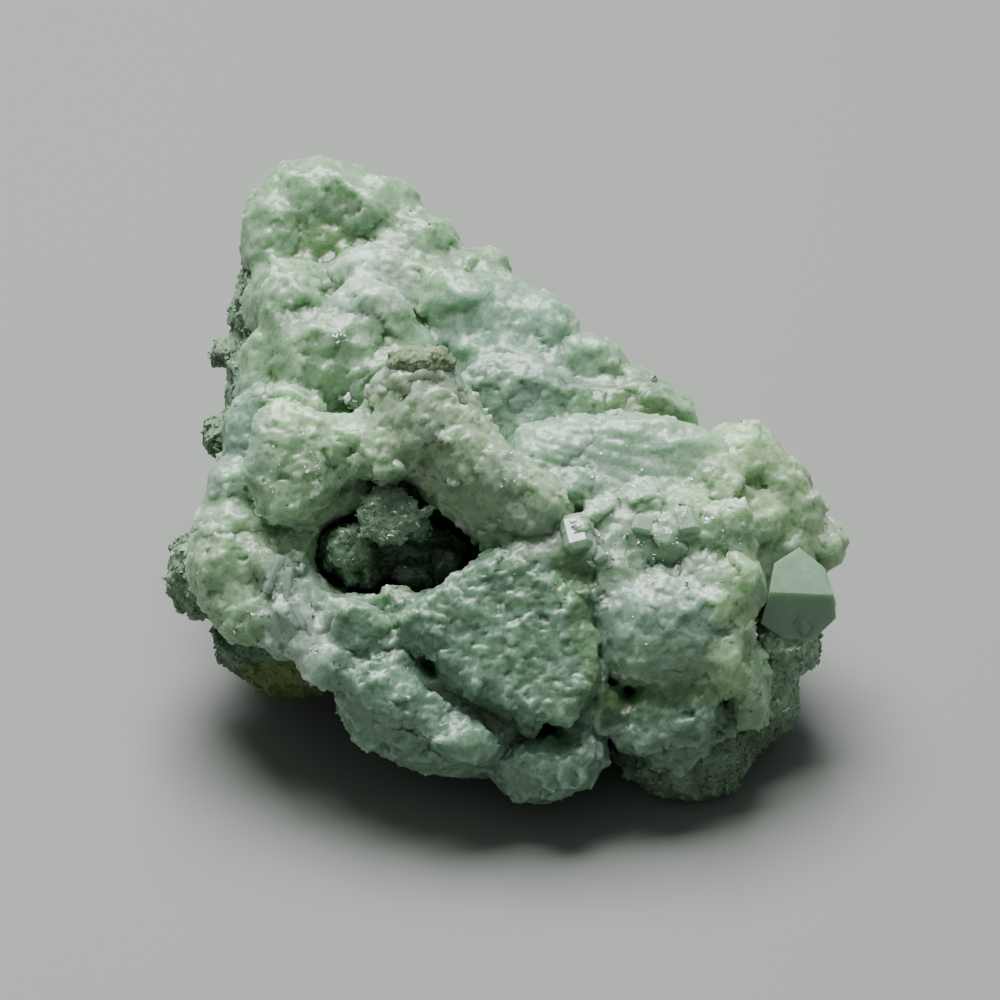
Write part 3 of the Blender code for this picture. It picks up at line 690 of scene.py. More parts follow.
BACK_LUMPS = (
    Lump((-16.2, 18.0, -33.0), (6.6, 5.0, 4.6), boxy=3.0, corners=20),
    Lump((-7.2, 16.2, -31.0), (6.4, 5.0, 5.0), turn=20.0, boxy=3.0, corners=20),
    Lump((1.8, 12.7, -25.0), (6.6, 5.0, 4.8), turn=-15.0, boxy=3.0, corners=20),
    Lump((9.8, 8.7, -19.9), (6.2, 5.0, 4.8), turn=10.0, boxy=3.0, corners=20),
    Lump((16.8, 4.2, -15.8), (6.0, 4.8, 5.0), turn=-10.0, boxy=3.0, corners=20),
    Lump((22.8, 1.1, -15.0), (5.4, 4.4, 4.6), turn=15.0, boxy=3.0, corners=20),
    Lump((-11.2, 21.9, -25.4), (6.0, 4.6, 4.6), turn=-20.0, boxy=3.0, corners=20),
    Lump((-2.2, 18.2, -20.7), (6.0, 4.6, 4.6), turn=12.0, boxy=3.0, corners=20),
)

FILLING_LUMPS = (
    Lump((7.4, -5.4, 1.0), (3.4, 3.0, 1.8), boxy=3.0),
    Lump((-21.6, 8.2, -1.6), (3.4, 1.6, 2.4), boxy=3.0, corners=16),
    Lump((-14.2, -12.4, 2.0), (3.6, 2.4, 2.0), turn=-30.0, boxy=3.2, corners=18),
    Lump((-16.8, -16.4, 1.6), (2.8, 2.8, 1.8), turn=-30.0, boxy=3.2, corners=18),
    Lump((-11.0, -19.2, 3.2), (4.6, 2.6, 1.8), turn=-30.0, boxy=3.2, corners=18),
    Lump((-4.0, -23.6, 3.0), (4.2, 2.2, 1.8), turn=-24.0, boxy=3.2, corners=18),
    Lump((14.0, -22.6, 0.6), (3.2, 3.2, 2.4), turn=20.0, boxy=3.4, corners=16),
    Lump((18.6, -21.8, 0.2), (3.4, 3.4, 2.4), turn=-12.0, boxy=3.4, corners=14),
    Lump((5.4, -26.6, 1.4), (4.6, 2.6, 2.2), turn=-6.0, boxy=3.4, corners=16),
    Plate(((-10.5, -11.6), (-5.0, -8.2), (-1.0, -5.2), (2.6, -5.6), (7.4, -9.0), (9.6, -14.0), (9.4, -18.6),
           (7.0, -22.6), (3.0, -21.8), (0.0, -19.6), (-5.0, -17.4), (-8.4, -14.6)), 4.7, 0.12, 3.4),
    Lump((18.4, -2.4, 1.0), (1.5, 1.4, 1.5), turn=-8.0, lean=20.0, boxy=4.0),
    Lump((23.0, -2.2, -0.2), (1.9, 2.3, 1.9), turn=6.0, lean=16.0, boxy=4.0),
    Lump((23.8, -7.8, 0.8), (2.0, 2.3, 1.9), turn=-12.0, boxy=3.6),
    Lump((21.4, -10.6, 2.6), (1.8, 2.0, 1.5), turn=20.0, boxy=3.6),
    Lump((22.2, -15.8, 1.8), (1.9, 2.6, 1.6), turn=-16.0, boxy=3.4),
    Lump((-18.2, 25.6, -20.6), (3.4, 3.8, 3.8)),
    Lump((-11.2, 5.0, -0.2), (3.6, 3.4, 3.0), turn=-45.0),
    Lump((-20.8, 3.6, -0.4), (4.6, 5.9, 2.5), boxy=2.4, corners=90),
    Lump((-18.0, 14.4, -9.0), (5.0, 4.4, 2.8), turn=20.0, boxy=3.2),
    Lump((-13.5, 18.4, -10.8), (4.2, 4.0, 3.0), turn=-15.0, boxy=3.2),
    Lump((-21.2, 19.0, -11.4), (3.4, 4.4, 2.6), boxy=3.2),
    Lump((-12.0, 11.6, -8.4), (3.2, 3.4, 2.4), boxy=3.2),
    Lump((-3.6, 19.6, -13.6), (4.6, 3.6, 3.0), turn=-30.0, boxy=3.0),
    Lump((4.0, 17.6, -13.8), (4.0, 3.4, 3.0), turn=-30.0, boxy=3.0),
    Lump((9.6, 13.6, -12.6), (3.8, 3.0, 3.0), turn=-30.0, boxy=3.0),
    Lump((14.6, 9.6, -10.4), (3.4, 2.4, 2.6), turn=-30.0, boxy=3.0),
    Lump((10.5, 8.6, -10.4), (6.4, 3.4, 3.2), turn=-8.0),
    Lump((2.4, 9.6, -8.2), (7.0, 5.0, 2.2), turn=-20.0, boxy=2.4),
    Lump((12.4, 3.2, -4.8), (9.6, 4.8, 3.0), turn=-4.0, lean=12.0, boxy=2.6, corners=80),
    Lump((-8.0, 11.8, 0.2), (4.3, 2.2, 2.8), turn=-4.0),
    Lump((-2.8, 4.2, 1.0), (8.2, 3.4, 3.3), turn=-43.0, boxy=3.4, corners=15),
    Lump((-7.4, 8.4, 1.0), (4.2, 3.8, 3.2), turn=-50.0, boxy=3.4, corners=13),
    Lump((3.2, -0.6, 0.8), (3.6, 3.4, 3.2), turn=-30.0, boxy=3.4, corners=13),
)


SHARP_CRYSTALS = (
    Lump((7.6, -3.5, 2.3), (1.4, 1.9, 1.2), turn=14.0, lean=30.0),
    Lump((9.8, -5.6, 2.2), (0.8, 1.0, 1.0), turn=38.0, lean=30.0),
    Lump((14.3, -2.7, 0.9), (1.2, 1.0, 1.0), turn=-14.0, lean=28.0),
    Lump((18.6, -2.5, 1.0), (1.2, 1.3, 1.2), turn=12.0, lean=28.0),
)

WHITE_BLADES = (
    Lump((-22.6, -7.4, 0.6), (0.5, 2.0, 0.5), turn=-24.0, lean=4.0, swing=20.0),
    Lump((-21.2, -9.0, 1.0), (0.4, 2.3, 0.45), turn=-4.0, lean=2.0, swing=-24.0),
    Lump((-20.2, -11.4, 1.4), (0.5, 1.8, 0.5), turn=28.0, lean=6.0, swing=12.0),
    Lump((-18.8, -13.6, 1.6), (0.45, 1.7, 0.5), turn=16.0, lean=4.0, swing=34.0),
)


@dataclass(frozen=True)
class Block:
    """A box of the show face that takes part of a solid, so that each part can be finely made.

    Attributes:
        low: its least across, up and out, in millimetres.
        high: its greatest across, up and out.
        taken: whether the part inside the box is kept, or the rest.
    """

    low: tuple[float, float, float]
    high: tuple[float, float, float]
    taken: bool = True

    def cut(self, obj: bpy.types.Object) -> None:
        """Cuts an object down to its part inside, or outside, the box."""
        corners = list(itertools.product(*zip(self.low, self.high)))
        tool = bmesh.new()
        for corner in from_face(np.array(corners)) * MM:
            tool.verts.new(corner)
        bmesh.ops.convex_hull(tool, input=tool.verts)
        mesh = bpy.data.meshes.new("block")
        tool.to_mesh(mesh)
        tool.free()
        box = bpy.data.objects.new("block", mesh)
        bpy.context.scene.collection.objects.link(box)
        boolean = obj.modifiers.new("cut", "BOOLEAN")
        boolean.operation = "INTERSECT" if self.taken else "DIFFERENCE"
        boolean.object = box
        apply_modifiers(obj)
        bpy.data.objects.remove(box)

    def clear(self, points: Array, margin: float) -> Array:
        """Which points lie in the kept part, at least a margin away from the cut.

        Args:
            points: N x 3 positions in millimetres.
            margin: the distance in millimetres; below zero it reaches past the cut.

        Returns:
            N truth values.
        """
        face = to_face(points)
        if self.taken:
            return ((face > np.array(self.low) + margin) & (face < np.array(self.high) - margin)).all(axis=1)
        return ~((face > np.array(self.low) - margin) & (face < np.array(self.high) + margin)).all(axis=1)


def apply_modifiers(obj: bpy.types.Object) -> None:
    """Turns an object's modifiers into its own mesh."""
    bpy.context.view_layer.update()
    graph = bpy.context.evaluated_depsgraph_get()
    obj.data = bpy.data.meshes.new_from_object(obj.evaluated_get(graph))
    obj.data.name = obj.name
    obj.modifiers.clear()


@dataclass
class Skin:
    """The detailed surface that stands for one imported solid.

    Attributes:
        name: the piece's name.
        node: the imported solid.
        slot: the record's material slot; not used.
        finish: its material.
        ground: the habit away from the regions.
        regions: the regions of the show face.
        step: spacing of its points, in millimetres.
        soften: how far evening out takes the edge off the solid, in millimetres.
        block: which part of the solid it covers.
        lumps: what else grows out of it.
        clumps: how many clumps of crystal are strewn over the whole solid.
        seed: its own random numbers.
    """

    name: str
    node: str
    slot: str
    finish: Finish
    ground: Habit
    regions: tuple[Region, ...] = ()
    step: float = 0.38
    soften: float = 0.32
    block: Block | None = None
    lumps: tuple["Lump | Plate", ...] = ()
    clumps: int = 0
    seed: int = 1
    surface: Surface | None = None
    growths: Growths | None = None
    tones: Array = field(default_factory=lambda: np.zeros((0, 3)))
    grain: Array = field(default_factory=lambda: np.zeros(0))
    fan_root: tuple[float, float] = (-6.0, 9.0)

    def build(self) -> bpy.types.Object:
        """Copies the solid, refines it, breaks it into facets and colours it.

        Returns:
            The piece.
        """
        obj = self.refined()
        self.surface = Surface.of(obj)
        self.surface.points = self.surface.averaged(self.surface.points, self.soften)
        self.write(obj)
        self.raise_facets(obj)
        self.tones = self.colours()
        paint(obj.data, self.tones)
        adopt(obj, self.finish)
        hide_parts(self.node)
        return obj

    def refined(self) -> bpy.types.Object:
        """A copy of the solid with even, closely spaced points."""
        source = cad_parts[self.node]
        obj = bpy.data.objects.new(self.name, source.data.copy())
        bpy.context.scene.collection.objects.link(obj)
        strewn = self.strewn(obj)
        if self.block:
            self.block.cut(obj)
        self.graft(obj, strewn)
        remesh = obj.modifiers.new("even", "REMESH")
        remesh.mode = "VOXEL"
        remesh.voxel_size = self.step * MM * 1.0
        apply_modifiers(obj)
        obj.data.shade_smooth()
        return obj

    def strewn(self, obj: bpy.types.Object) -> list[tuple[Array, Array]]:
        """Clumps of crystal at random places of the solid, half sunk into it.

        Args:
            obj: a copy of the whole solid.

        Returns:
            The corners in millimetres and the triangles of each.
        """
        rng = np.random.default_rng(self.seed)
        obj.data.calc_loop_triangles()
        triangles = np.array([t.vertices[:] for t in obj.data.loop_triangles])
        corners = np.array([v.co for v in obj.data.vertices])[triangles] / MM
        across = np.cross(corners[:, 1] - corners[:, 0], corners[:, 2] - corners[:, 0])
        area = np.linalg.norm(across, axis=1)
        chosen = rng.choice(len(area), size=self.clumps, p=area / area.sum())
        shares = rng.dirichlet((1.0, 1.0, 1.0), self.clumps)
        points = (corners[chosen] * shares[:, :, None]).sum(axis=1)
        normals = across[chosen] / area[chosen][:, None]
        facing = ramp(normals @ OUT, -0.45, 0.05)
        amounts = Growths.mixed(points, facing, self.ground, self.regions).amounts
        kept = (rng.random(self.clumps) < amounts["clumps"]) & (points[:, 2] > 2.5)
        size = amounts["clump"] * np.minimum(rng.lognormal(-0.15, 0.35, self.clumps), 1.5)
        shapes = chunk_shapes(self.seed, 16, 10)
        made = []
        for k in np.flatnonzero(kept):
            shape, faces = shapes[rng.integers(len(shapes))]
            turned = Matrix(Euler(rng.uniform(0.0, math.tau, 3)).to_matrix())
            placed = shape * (size[k] * rng.uniform(0.7, 1.0, 3)) @ np.array(turned).T
            made.append((placed + points[k] - normals[k] * 0.20 * size[k], faces))
        return made

    def graft(self, obj: bpy.types.Object, strewn: list[tuple[Array, Array]]) -> None:
        """Adds the lumps and clumps that lie in this part of the solid to its mesh."""
        grafts = [lump.hull() for lump in self.lumps] + strewn
        if self.block:
            middles = np.array([corners.mean(axis=0) for corners, _ in grafts])
            inside = self.block.clear(middles, -1.5)
            grafts = [graft for graft, wanted in zip(grafts, inside) if wanted]
        joined = bmesh.new()
        joined.from_mesh(obj.data)
        for corners, faces in grafts:
            placed = [joined.verts.new(corner * MM) for corner in corners]
            for face in faces:
                joined.faces.new([placed[k] for k in face])
        joined.to_mesh(obj.data)
        joined.free()

    def write(self, obj: bpy.types.Object) -> None:
        """Moves the mesh's vertices to the surface's points and reads its normals again."""
        self.surface.points[:, 2] = np.maximum(self.surface.points[:, 2], 0.0)
        obj.data.vertices.foreach_set("co", (self.surface.points * MM).ravel())
        obj.data.update()
        self.surface.normals = Surface.normals_of(obj)

    def facing(self) -> Array:
        """1 where the broad shape faces the viewer of the show face, 0 behind."""
        broad = self.surface.averaged(self.surface.normals, 2.2)
        broad /= np.maximum(np.linalg.norm(broad, axis=1, keepdims=True), 1e-9)
        return ramp(broad @ OUT, -0.45, 0.05)

    def raise_facets(self, obj: bpy.types.Object) -> None:
        """Breaks the surface into flat facets of three sizes and grooves it.

        Args:
            obj: the piece, whose mesh takes the new shape.
        """
        points = self.surface.points
        self.growths = Growths.mixed(points, self.facing(), self.ground, self.regions)
        amounts = self.growths.amounts
        self.grain = np.zeros(len(points))
        settled = ramp(points[:, 2], 0.3, 1.2)
        for size, name, tilt in ((3.2, "coarse", 0.14), (1.6, "middle", 0.18), (0.85, "fine", 0.20)):
            points = self.surface.points
            bent = points + 0.2 * size * np.stack([swell(points, size, self.seed + 60 + k) for k in range(3)], axis=1)
            owner = facets_over(bent, size, self.seed + int(size * 10))
            move = self.surface.flattening(owner, size, tilt, self.seed)
            self.surface.points = points + self.surface.normals * (amounts[name] * move * settled)[:, None]
            self.grain += (owner * 7.0 % 1.0 - 0.5) * amounts[name]
            self.write(obj)
        face = to_face(points)
        across = face[:, 0] - self.fan_root[0]
        bearing = np.arctan2(face[:, 1] - self.fan_root[1] + 0.25 * swell(points, 3.0, self.seed + 70), across)
        stripe = np.sin(bearing * 90.0) * 0.6 + np.sin(bearing * 47.0 + 1.0) * 0.4
        height = amounts["groove"] * 0.16 * stripe * settled
        self.surface.points = self.surface.points + self.surface.normals * height[:, None]
        self.write(obj)

    def colours(self) -> Array:
        """The colour at each point: paler on raised crests, partly the crystal's own milky patches and partly painted
        highlight; painted shade in crevices and inside the hollow.

        Returns:
            N x 3 linear colours.
        """
        points = self.surface.points
        shades = self.growths.colours
        broad = self.surface.relief(2.4)
        tight = self.surface.relief(0.8)
        milky = ramp(swell(points, 1.3, self.seed + 82) + 0.5 * swell(points, 0.6, self.seed + 83), 0.25, 0.9)
        # Paler crests: the milky patches are the crystal's own colour; the part that follows raised relief is painted
        # highlight.
        milky_crest_highlight = ramp(broad, 0.0, 1.1) * 0.4 + ramp(tight, 0.0, 0.2) * 0.25 + milky * 0.3
        milky_crest_highlight = np.minimum(milky_crest_highlight, 1.0)[:, None]
        # Painted shade: crevices and hollows in the relief are darkened toward the crevice colour.
        crevice_shade = np.clip(ramp(-broad, 0.05, 0.95) * 0.9 + ramp(-tight, 0.03, 0.22) * 0.3, 0.0, 1.0)[:, None]
        tones = shades["body"] * (1.0 - milky_crest_highlight) + shades["milky_crest_highlight"] * milky_crest_highlight
        tones = tones * (1.0 - crevice_shade) + shades["crevice_shade"] * crevice_shade
        patch = swell(points, 5.5, self.seed + 80) * 0.6 + swell(points, 1.8, self.seed + 81) * 0.4
        return tones * (1.0 + 0.14 * patch + 0.10 * self.grain)[:, None]


@dataclass
class Chips:
    """Small loose crystals that stand on a skin.

    Attributes:
        name: the piece's name.
        skin: the surface that they stand on.
        finish: their material.
        count: how many there are.
        show_face: whether they cover only what faces the viewer, or only the rest.
        seed: their own random numbers.
    """

    name: str
    skin: Skin
    finish: Finish
    count: int
    show_face: bool
    seed: int

    def sites(self, rng: np.random.Generator) -> Array:
        """Picks the skin's points that carry a chip."""
        skin = self.skin
        toward = skin.facing()
        wanted = toward if self.show_face else 1.0 - toward
        wanted = wanted * skin.growths.amounts["chips"] * ramp(skin.surface.points[:, 2], 0.8, 1.6)
        wanted = wanted * (0.35 + ramp(skin.surface.relief(2.4), -0.6, 0.6))
        if skin.block:
            wanted = wanted * skin.block.clear(skin.surface.points, 1.0)
        count = self.count
        count = min(count, int((wanted > 0.01).sum() * 0.5))
        return rng.choice(len(wanted), size=count, replace=False, p=wanted / wanted.sum())

    def build(self) -> bpy.types.Object:
        """Places the chips as one mesh.

        Returns:
            The piece.
        """
        rng = np.random.default_rng(self.seed)
        sites = self.sites(rng)
        surface = self.skin.surface
        amounts = self.skin.growths.amounts
        shapes = chunk_shapes(self.seed)
        which = rng.integers(0, len(shapes), len(sites))
        size = amounts["chip"][sites] * rng.lognormal(0.0, 0.35, len(sites))
        # The chips take the skin's colours, painted highlight and painted shade included.
        tones = self.skin.tones[sites] * rng.normal(1.03, 0.07, (len(sites), 1))
        axes = self.frames(surface.normals[sites], rng)
        points, faces, colours = [], [], []
        start = 0
        for k, (corners, triangles) in enumerate(shapes):
            mine = np.flatnonzero(which == k)
            scale = np.stack((size[mine], size[mine] * rng.uniform(0.6, 1.0, len(mine)), size[mine] * 0.75), 1)
            local = corners[None] * scale[:, None, :]
            placed = np.einsum("nij,nkj->nki", axes[mine], local)
            sunk = surface.points[sites[mine]] - surface.normals[sites[mine]] * (0.14 * size[mine])[:, None]
            placed += sunk[:, None, :]
            block = triangles[None] + start + (np.arange(len(mine)) * len(corners))[:, None, None]
            points.append(placed.reshape(-1, 3))
            faces.append(block.reshape(-1, 3))
            colours.append(np.repeat(tones[mine], len(corners), axis=0))
            start += len(mine) * len(corners)
        obj = mesh_object(self.name, np.concatenate(points), np.concatenate(faces))
        paint(obj.data, np.concatenate(colours))
        adopt(obj, self.finish)
        return obj

    def frames(self, normals: Array, rng: np.random.Generator) -> Array:
        """Axes that follow the skin's normal loosely, turned at random about it.

        Args:
            normals: N x 3 directions.
            rng: where the random turns come from.

        Returns:
            N x 3 x 3 matrices whose columns are the axes.
        """
        out = normals + rng.normal(0.0, 0.24, normals.shape)
        out /= np.linalg.norm(out, axis=1, keepdims=True)
        side = np.cross(out, rng.normal(size=out.shape))
        side /= np.linalg.norm(side, axis=1, keepdims=True)
        return np.stack((side, np.cross(out, side), out), axis=2)


@dataclass
class CrispCrystals:
    """Single crystals with sharp edges and clean faces, set into the mass.

    Attributes:
        name: the piece's name.
        prisms: the crystals, each a boxy lump.
        tone: their colour.
    """

    name: str
    prisms: tuple[Lump, ...]
    tone: Colour
    taper: float = 0.82

    def build(self) -> bpy.types.Object:
        """Makes the crystals as one flat-faced mesh.

        Returns:
            The piece.
        """
        points, faces = [], []
        start = 0
        for prism in self.prisms:
            corners, triangles = self.prism(prism)
            points.append(corners)
            faces.append(triangles + start)
            start += len(corners)
        obj = mesh_object(self.name, np.concatenate(points), np.concatenate(faces))
        paint(obj.data, np.tile(self.tone, (start, 1)))
        adopt(obj, CRISP)
        return obj

    def prism(self, lump: Lump) -> tuple[Array, Array]:
        """A tabular crystal with cut corners that narrows at both ends."""
        ends = []
        for rise, share in ((-1.0, self.taper * 0.8), (-0.7, 1.0), (0.75, 1.0), (1.0, self.taper)):
            for side, depth in ((1.0, 0.5), (0.6, 1.0), (-0.6, 1.0), (-1.0, 0.5)):
                ends.append((side * share, rise, depth * share))
                ends.append((side * share, rise, -depth * share))
        turns = Euler([math.radians(v) for v in (-lump.lean, lump.swing, lump.turn)], "XYZ").to_matrix()
        corners = np.array(ends) * np.array(lump.half) @ np.array(turns).T + np.array(lump.at)
        return hull_of(from_face(corners))


@dataclass
class CleavedCrystal:
    """A broken crystal at the right whose two clean faces meet in a crease.

    Attributes:
        name: the piece's name.
        front: the corners of its two clean faces: across, up and out, in millimetres.
        depth: how far it goes back into the mass.
        tone: its colour.
    """

    name: str = "cleaved_crystal"
    front: tuple[tuple[float, float, float], ...] = (
        (27.0, -9.2, -1.2), (33.6, -9.5, -3.5), (27.6, -6.4, -3.1), (30.2, -4.8, -5.2), (32.8, -6.9, -5.5),
        (26.2, -12.4, -2.4), (28.6, -13.9, -3.6), (31.6, -14.1, -4.6), (33.9, -11.9, -5.0),
    )
    depth: float = 6.0
    tone: Colour = (0.18, 0.29, 0.19)

    def build(self) -> bpy.types.Object:
        """Makes the crystal.

        Returns:
            The piece.
        """
        front = np.array(self.front)
        back = front * (0.97, 0.97, 1.0) - (-0.6, 0.0, self.depth)
        corners, faces = hull_of(from_face(np.concatenate((front, back))))
        obj = mesh_object(self.name, corners, faces)
        paint(obj.data, np.tile(self.tone, (len(corners), 1)))
        adopt(obj, CLEAN)
        return obj


@dataclass(frozen=True)
class Glint:
    """A place where small clean faces catch the lamp.

    Attributes:
        at: its middle across and up on the show face, in millimetres.
        reach: how far its faces lie from the middle.
        count: how many faces.
        size: the faces' mean size.
    """

    at: tuple[float, float]
    reach: float
    count: int
    size: float = 0.35


@dataclass
class GlintingFaces:
    """Small clean crystal faces, set where they mirror the lamp toward the viewer of the show face.

    Attributes:
        name: the piece's name.
        skins: the surfaces that they stand on.
        places: where they are.
        lamp_at: where the lamp stands, in metres.
        tone: their colour.
        seed: their own random numbers.
    """

    name: str
    skins: tuple[Skin, ...]
    places: tuple[Glint, ...]
    lamp_at: tuple[float, float, float]
    tone: Colour = (0.42, 0.54, 0.46)
    seed: int = 21

    def build(self) -> bpy.types.Object:
        """Makes the faces as one mesh.

        Returns:
            The piece.
        """
        rng = np.random.default_rng(self.seed)
        surface = np.concatenate([skin.surface.points for skin in self.skins])
        normals = np.concatenate([skin.surface.normals for skin in self.skins])
        face = to_face(surface)
        shapes = chunk_shapes(self.seed, 8, 14)
        points, faces = [], []
        start = 0
        for place in self.places:
            apart = np.hypot(face[:, 0] - place.at[0], face[:, 1] - place.at[1])
            near = np.flatnonzero((apart < place.reach) & (normals @ OUT > 0.35))
            if len(near) == 0:
                continue
            front = near[face[near, 2] > np.quantile(face[near, 2], 0.4)]
            for site in rng.choice(front, min(place.count, len(front)), replace=False):
                half_way = np.array(self.lamp_at) / MM - surface[site]
                half_way = half_way / np.linalg.norm(half_way) + OUT
                up = half_way / np.linalg.norm(half_way) + rng.normal(0.0, 0.05, 3)
                up /= np.linalg.norm(up)
                side = np.cross(up, rng.normal(size=3))
                side /= np.linalg.norm(side)
                axes = np.stack((side, np.cross(up, side), up), axis=1)
                size = place.size * rng.uniform(0.6, 1.7)
                shape, triangles = shapes[rng.integers(len(shapes))]
                flat = np.clip(shape, -0.5, 0.12) * size * rng.uniform((0.5, 0.8, 0.9), (1.0, 1.2, 1.1))
                points.append(flat @ axes.T + surface[site] + normals[site] * 0.03)
                faces.append(triangles + start)
                start += len(shape)
        obj = mesh_object(self.name, np.concatenate(points), np.concatenate(faces))
        paint(obj.data, np.tile(self.tone, (start, 1)))
        adopt(obj, GLINT)
        return obj


GLINTS = (
    Glint((-18.2, -14.3), 1.2, 16, 0.4), Glint((-15.4, 9.9), 1.0, 18, 0.6), Glint((-20.8, 3.6), 3.6, 26, 0.3),
    Glint((4.0, 6.0), 4.5, 20, 0.28), Glint((10.0, 4.6), 3.5, 14, 0.32), Glint((13.8, 2.3), 1.4, 14, 0.5),
    Glint((20.0, 5.0), 3.0, 6, 0.3), Glint((-15.9, 16.7), 0.9, 14, 0.6), Glint((7.4, 13.6), 1.4, 5, 0.4),
    Glint((7.6, -2.6), 0.8, 9, 0.6), Glint((11.8, -4.6), 2.6, 22, 0.35), Glint((16.0, -3.2), 3.0, 26, 0.35),
    Glint((22.0, -3.0), 2.6, 18, 0.4), Glint((15.4, -6.9), 1.6, 14, 0.35), Glint((-6.0, -6.6), 1.4, 6, 0.4), Glint((25.6, -10.8), 1.2, 5, 0.3),
    Glint((2.0, -9.0), 4.0, 5, 0.2), Glint((-21.0, -9.0), 2.4, 8, 0.3), Glint((-2.0, -19.0), 8.0, 8, 0.2),
    Glint((1.4, 3.4), 2.4, 5, 0.35), Glint((10.0, -13.4), 5.0, 6, 0.2), Glint((5.6, -26.0), 4.0, 4, 0.2),
)


def mesh_object(name: str, points: Array, faces: Array) -> bpy.types.Object:
    """Makes a flat-shaded triangle mesh from arrays.

    Args:
        name: the object's name.
        points: N x 3 positions in millimetres.
        faces: M x 3 indices.

    Returns:
        The object, linked into the scene.
    """
    points = points.copy()
    points[:, 2] = np.maximum(points[:, 2], 0.02)
    mesh = bpy.data.meshes.new(name)
    mesh.vertices.add(len(points))
    mesh.vertices.foreach_set("co", (points * MM).ravel())
    mesh.loops.add(len(faces) * 3)
    mesh.loops.foreach_set("vertex_index", faces.astype(np.int32).ravel())
    mesh.polygons.add(len(faces))
    mesh.polygons.foreach_set("loop_start", np.arange(len(faces), dtype=np.int32) * 3)
    mesh.update(calc_edges=True)
    mesh.validate()
    mesh.shade_flat()
    obj = bpy.data.objects.new(name, mesh)
    bpy.context.scene.collection.objects.link(obj)
    return obj


@dataclass
class Studio:
    """A plain pale floor, soft light and the camera at the photograph's angle."""

    floor_size: float = 2.4
    floor_tone: Colour = (0.178, 0.191, 0.174)
    sky: float = 0.26
    key_power: float = 13.0
    key_size: float = 0.45
    key_at: tuple[float, float, float] = (-0.08, 0.26, 0.62)

    def build(self) -> None:
        """Sets the floor, the world, the lamp and the camera."""
        self.lay_floor()
        self.light()
        self.aim_camera()

    def lay_floor(self) -> None:
        """Lays the floor under the specimen."""
        half = self.floor_size / 2.0
        mesh = bpy.data.meshes.new("floor")
        mesh.from_pydata([(-half, -half, 0), (half, -half, 0), (half, half, 0), (-half, half, 0)], [], [(0, 1, 2, 3)])
        floor = bpy.data.objects.new("floor", mesh)
        bpy.context.scene.collection.objects.link(floor)
        made = bpy.data.materials.new("floor")
        made.use_nodes = True
        surface = made.node_tree.nodes["Principled BSDF"]
        surface.inputs["Base Color"].default_value = (*self.floor_tone, 1.0)
        surface.inputs["Roughness"].default_value = 0.6
        mesh.materials.append(made)

    def light(self) -> None:
        """Lights the specimen from a pale sky and one large lamp behind and above it."""
        world = bpy.data.worlds.new("studio")
        world.use_nodes = True
        world.node_tree.nodes["Background"].inputs["Color"].default_value = (0.93, 1.0, 0.97, 1.0)
        world.node_tree.nodes["Background"].inputs["Strength"].default_value = self.sky
        bpy.context.scene.world = world
        lamp = bpy.data.lights.new("key", "AREA")
        lamp.energy = self.key_power
        lamp.size = self.key_size
        key = bpy.data.objects.new("key", lamp)
        key.location = self.key_at
        key.rotation_mode = "QUATERNION"
        key.rotation_quaternion = (Vector((0.0, 0.0, 0.02)) - key.location).to_track_quat("-Z", "Y")
        bpy.context.scene.collection.objects.link(key)

    def aim_camera(self) -> None:
        """Puts the camera square to the show face."""
        lens = bpy.data.cameras.new("camera")
        lens.sensor_width = SENSOR_MM
        lens.lens = SENSOR_MM * CAMERA_DISTANCE / FRAME_WIDTH
        camera = bpy.data.objects.new("camera", lens)
        camera.location = Vector((FACE_MIDDLE + OUT * CAMERA_DISTANCE) * MM)
        camera.rotation_mode = "QUATERNION"
        camera.rotation_quaternion = Vector(-OUT).to_track_quat("-Z", "Y")
        bpy.context.scene.collection.objects.link(camera)
        bpy.context.scene.camera = camera


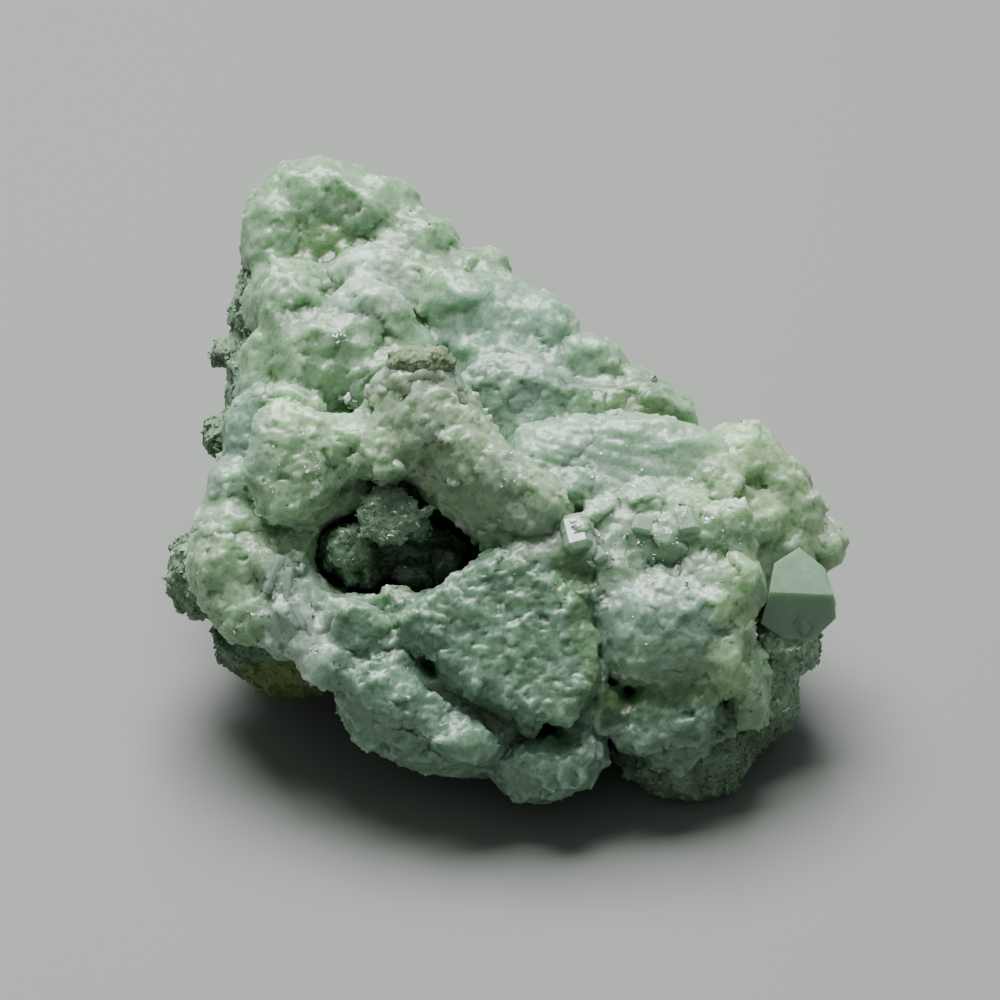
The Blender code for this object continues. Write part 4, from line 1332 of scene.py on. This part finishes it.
def main() -> None:
    """Builds the specimen's pieces in order, then the studio; each piece's triangle count is logged."""
    logging.basicConfig(level=logging.INFO, format="%(name)s: %(message)s")
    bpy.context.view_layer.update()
    show = dict(node="prehnite", slot="prehnite", finish=CRYSTAL, ground=Habit.PALE, regions=CRYSTAL_REGIONS)
    grown = dict(lumps=FILLING_LUMPS + BACK_LUMPS, clumps=2000, seed=100)
    upper = Skin("rim_and_pillar", step=0.26, block=Block((-60.0, -3.6, -9.0), (9.8, 11.6, 60.0)), **show, **grown)
    upper.build()
    lower = Skin("front_ledges", step=0.26, block=Block((-60.0, -60.0, -9.0), (9.8, -3.0, 60.0)), **show, **grown)
    lower.build()
    right = Skin("right_lobes", step=0.27, block=Block((9.2, -60.0, -10.0), (60.0, 11.6, 60.0)), **show, **grown)
    right.build()
    beyond = Block((-60.0, -60.0, -8.2), (60.0, 11.0, 60.0), taken=False)
    rear = Skin("peak_and_rear", step=0.40, block=beyond, **show, **grown)
    rear.build()
    rock = Skin(
        "granular_rock", "matrix", "host_rock", ROCK, Habit.ROCK, ROCK_REGIONS, step=0.38, clumps=500, seed=200,
    )
    rock.build()
    lining = Skin(
        "hollow_crust", "pocket_crystals", "pocket_crystals", LINING, Habit.LINING, step=0.2, soften=0.15, seed=300,
    )
    lining.build()
    tip = Skin(
        "tip_rock", "pillar_cap", "pillar_cap", TIP, Habit.TIP, step=0.2, soften=0.2, seed=400,
        lumps=(Lump((-8.0, 13.5, 0.5), (3.7, 1.6, 2.8), turn=3.0, corners=20),),
    )
    tip.build()
    CleavedCrystal().build()
    CrispCrystals("crisp_crystals", SHARP_CRYSTALS, (0.31, 0.45, 0.33)).build()
    CrispCrystals("white_blades", WHITE_BLADES, (0.33, 0.46, 0.37)).build()
    Chips("rock_chips", rock, ROCK_CHIP, 8000, True, 14).build()
    Chips("lining_chips", lining, LINING, 800, True, 15).build()
    studio = Studio()
    GlintingFaces("glinting_faces", (upper, lower, right, rear), GLINTS, studio.key_at).build()
    studio.build()


if __name__ == "__main__":
    main()
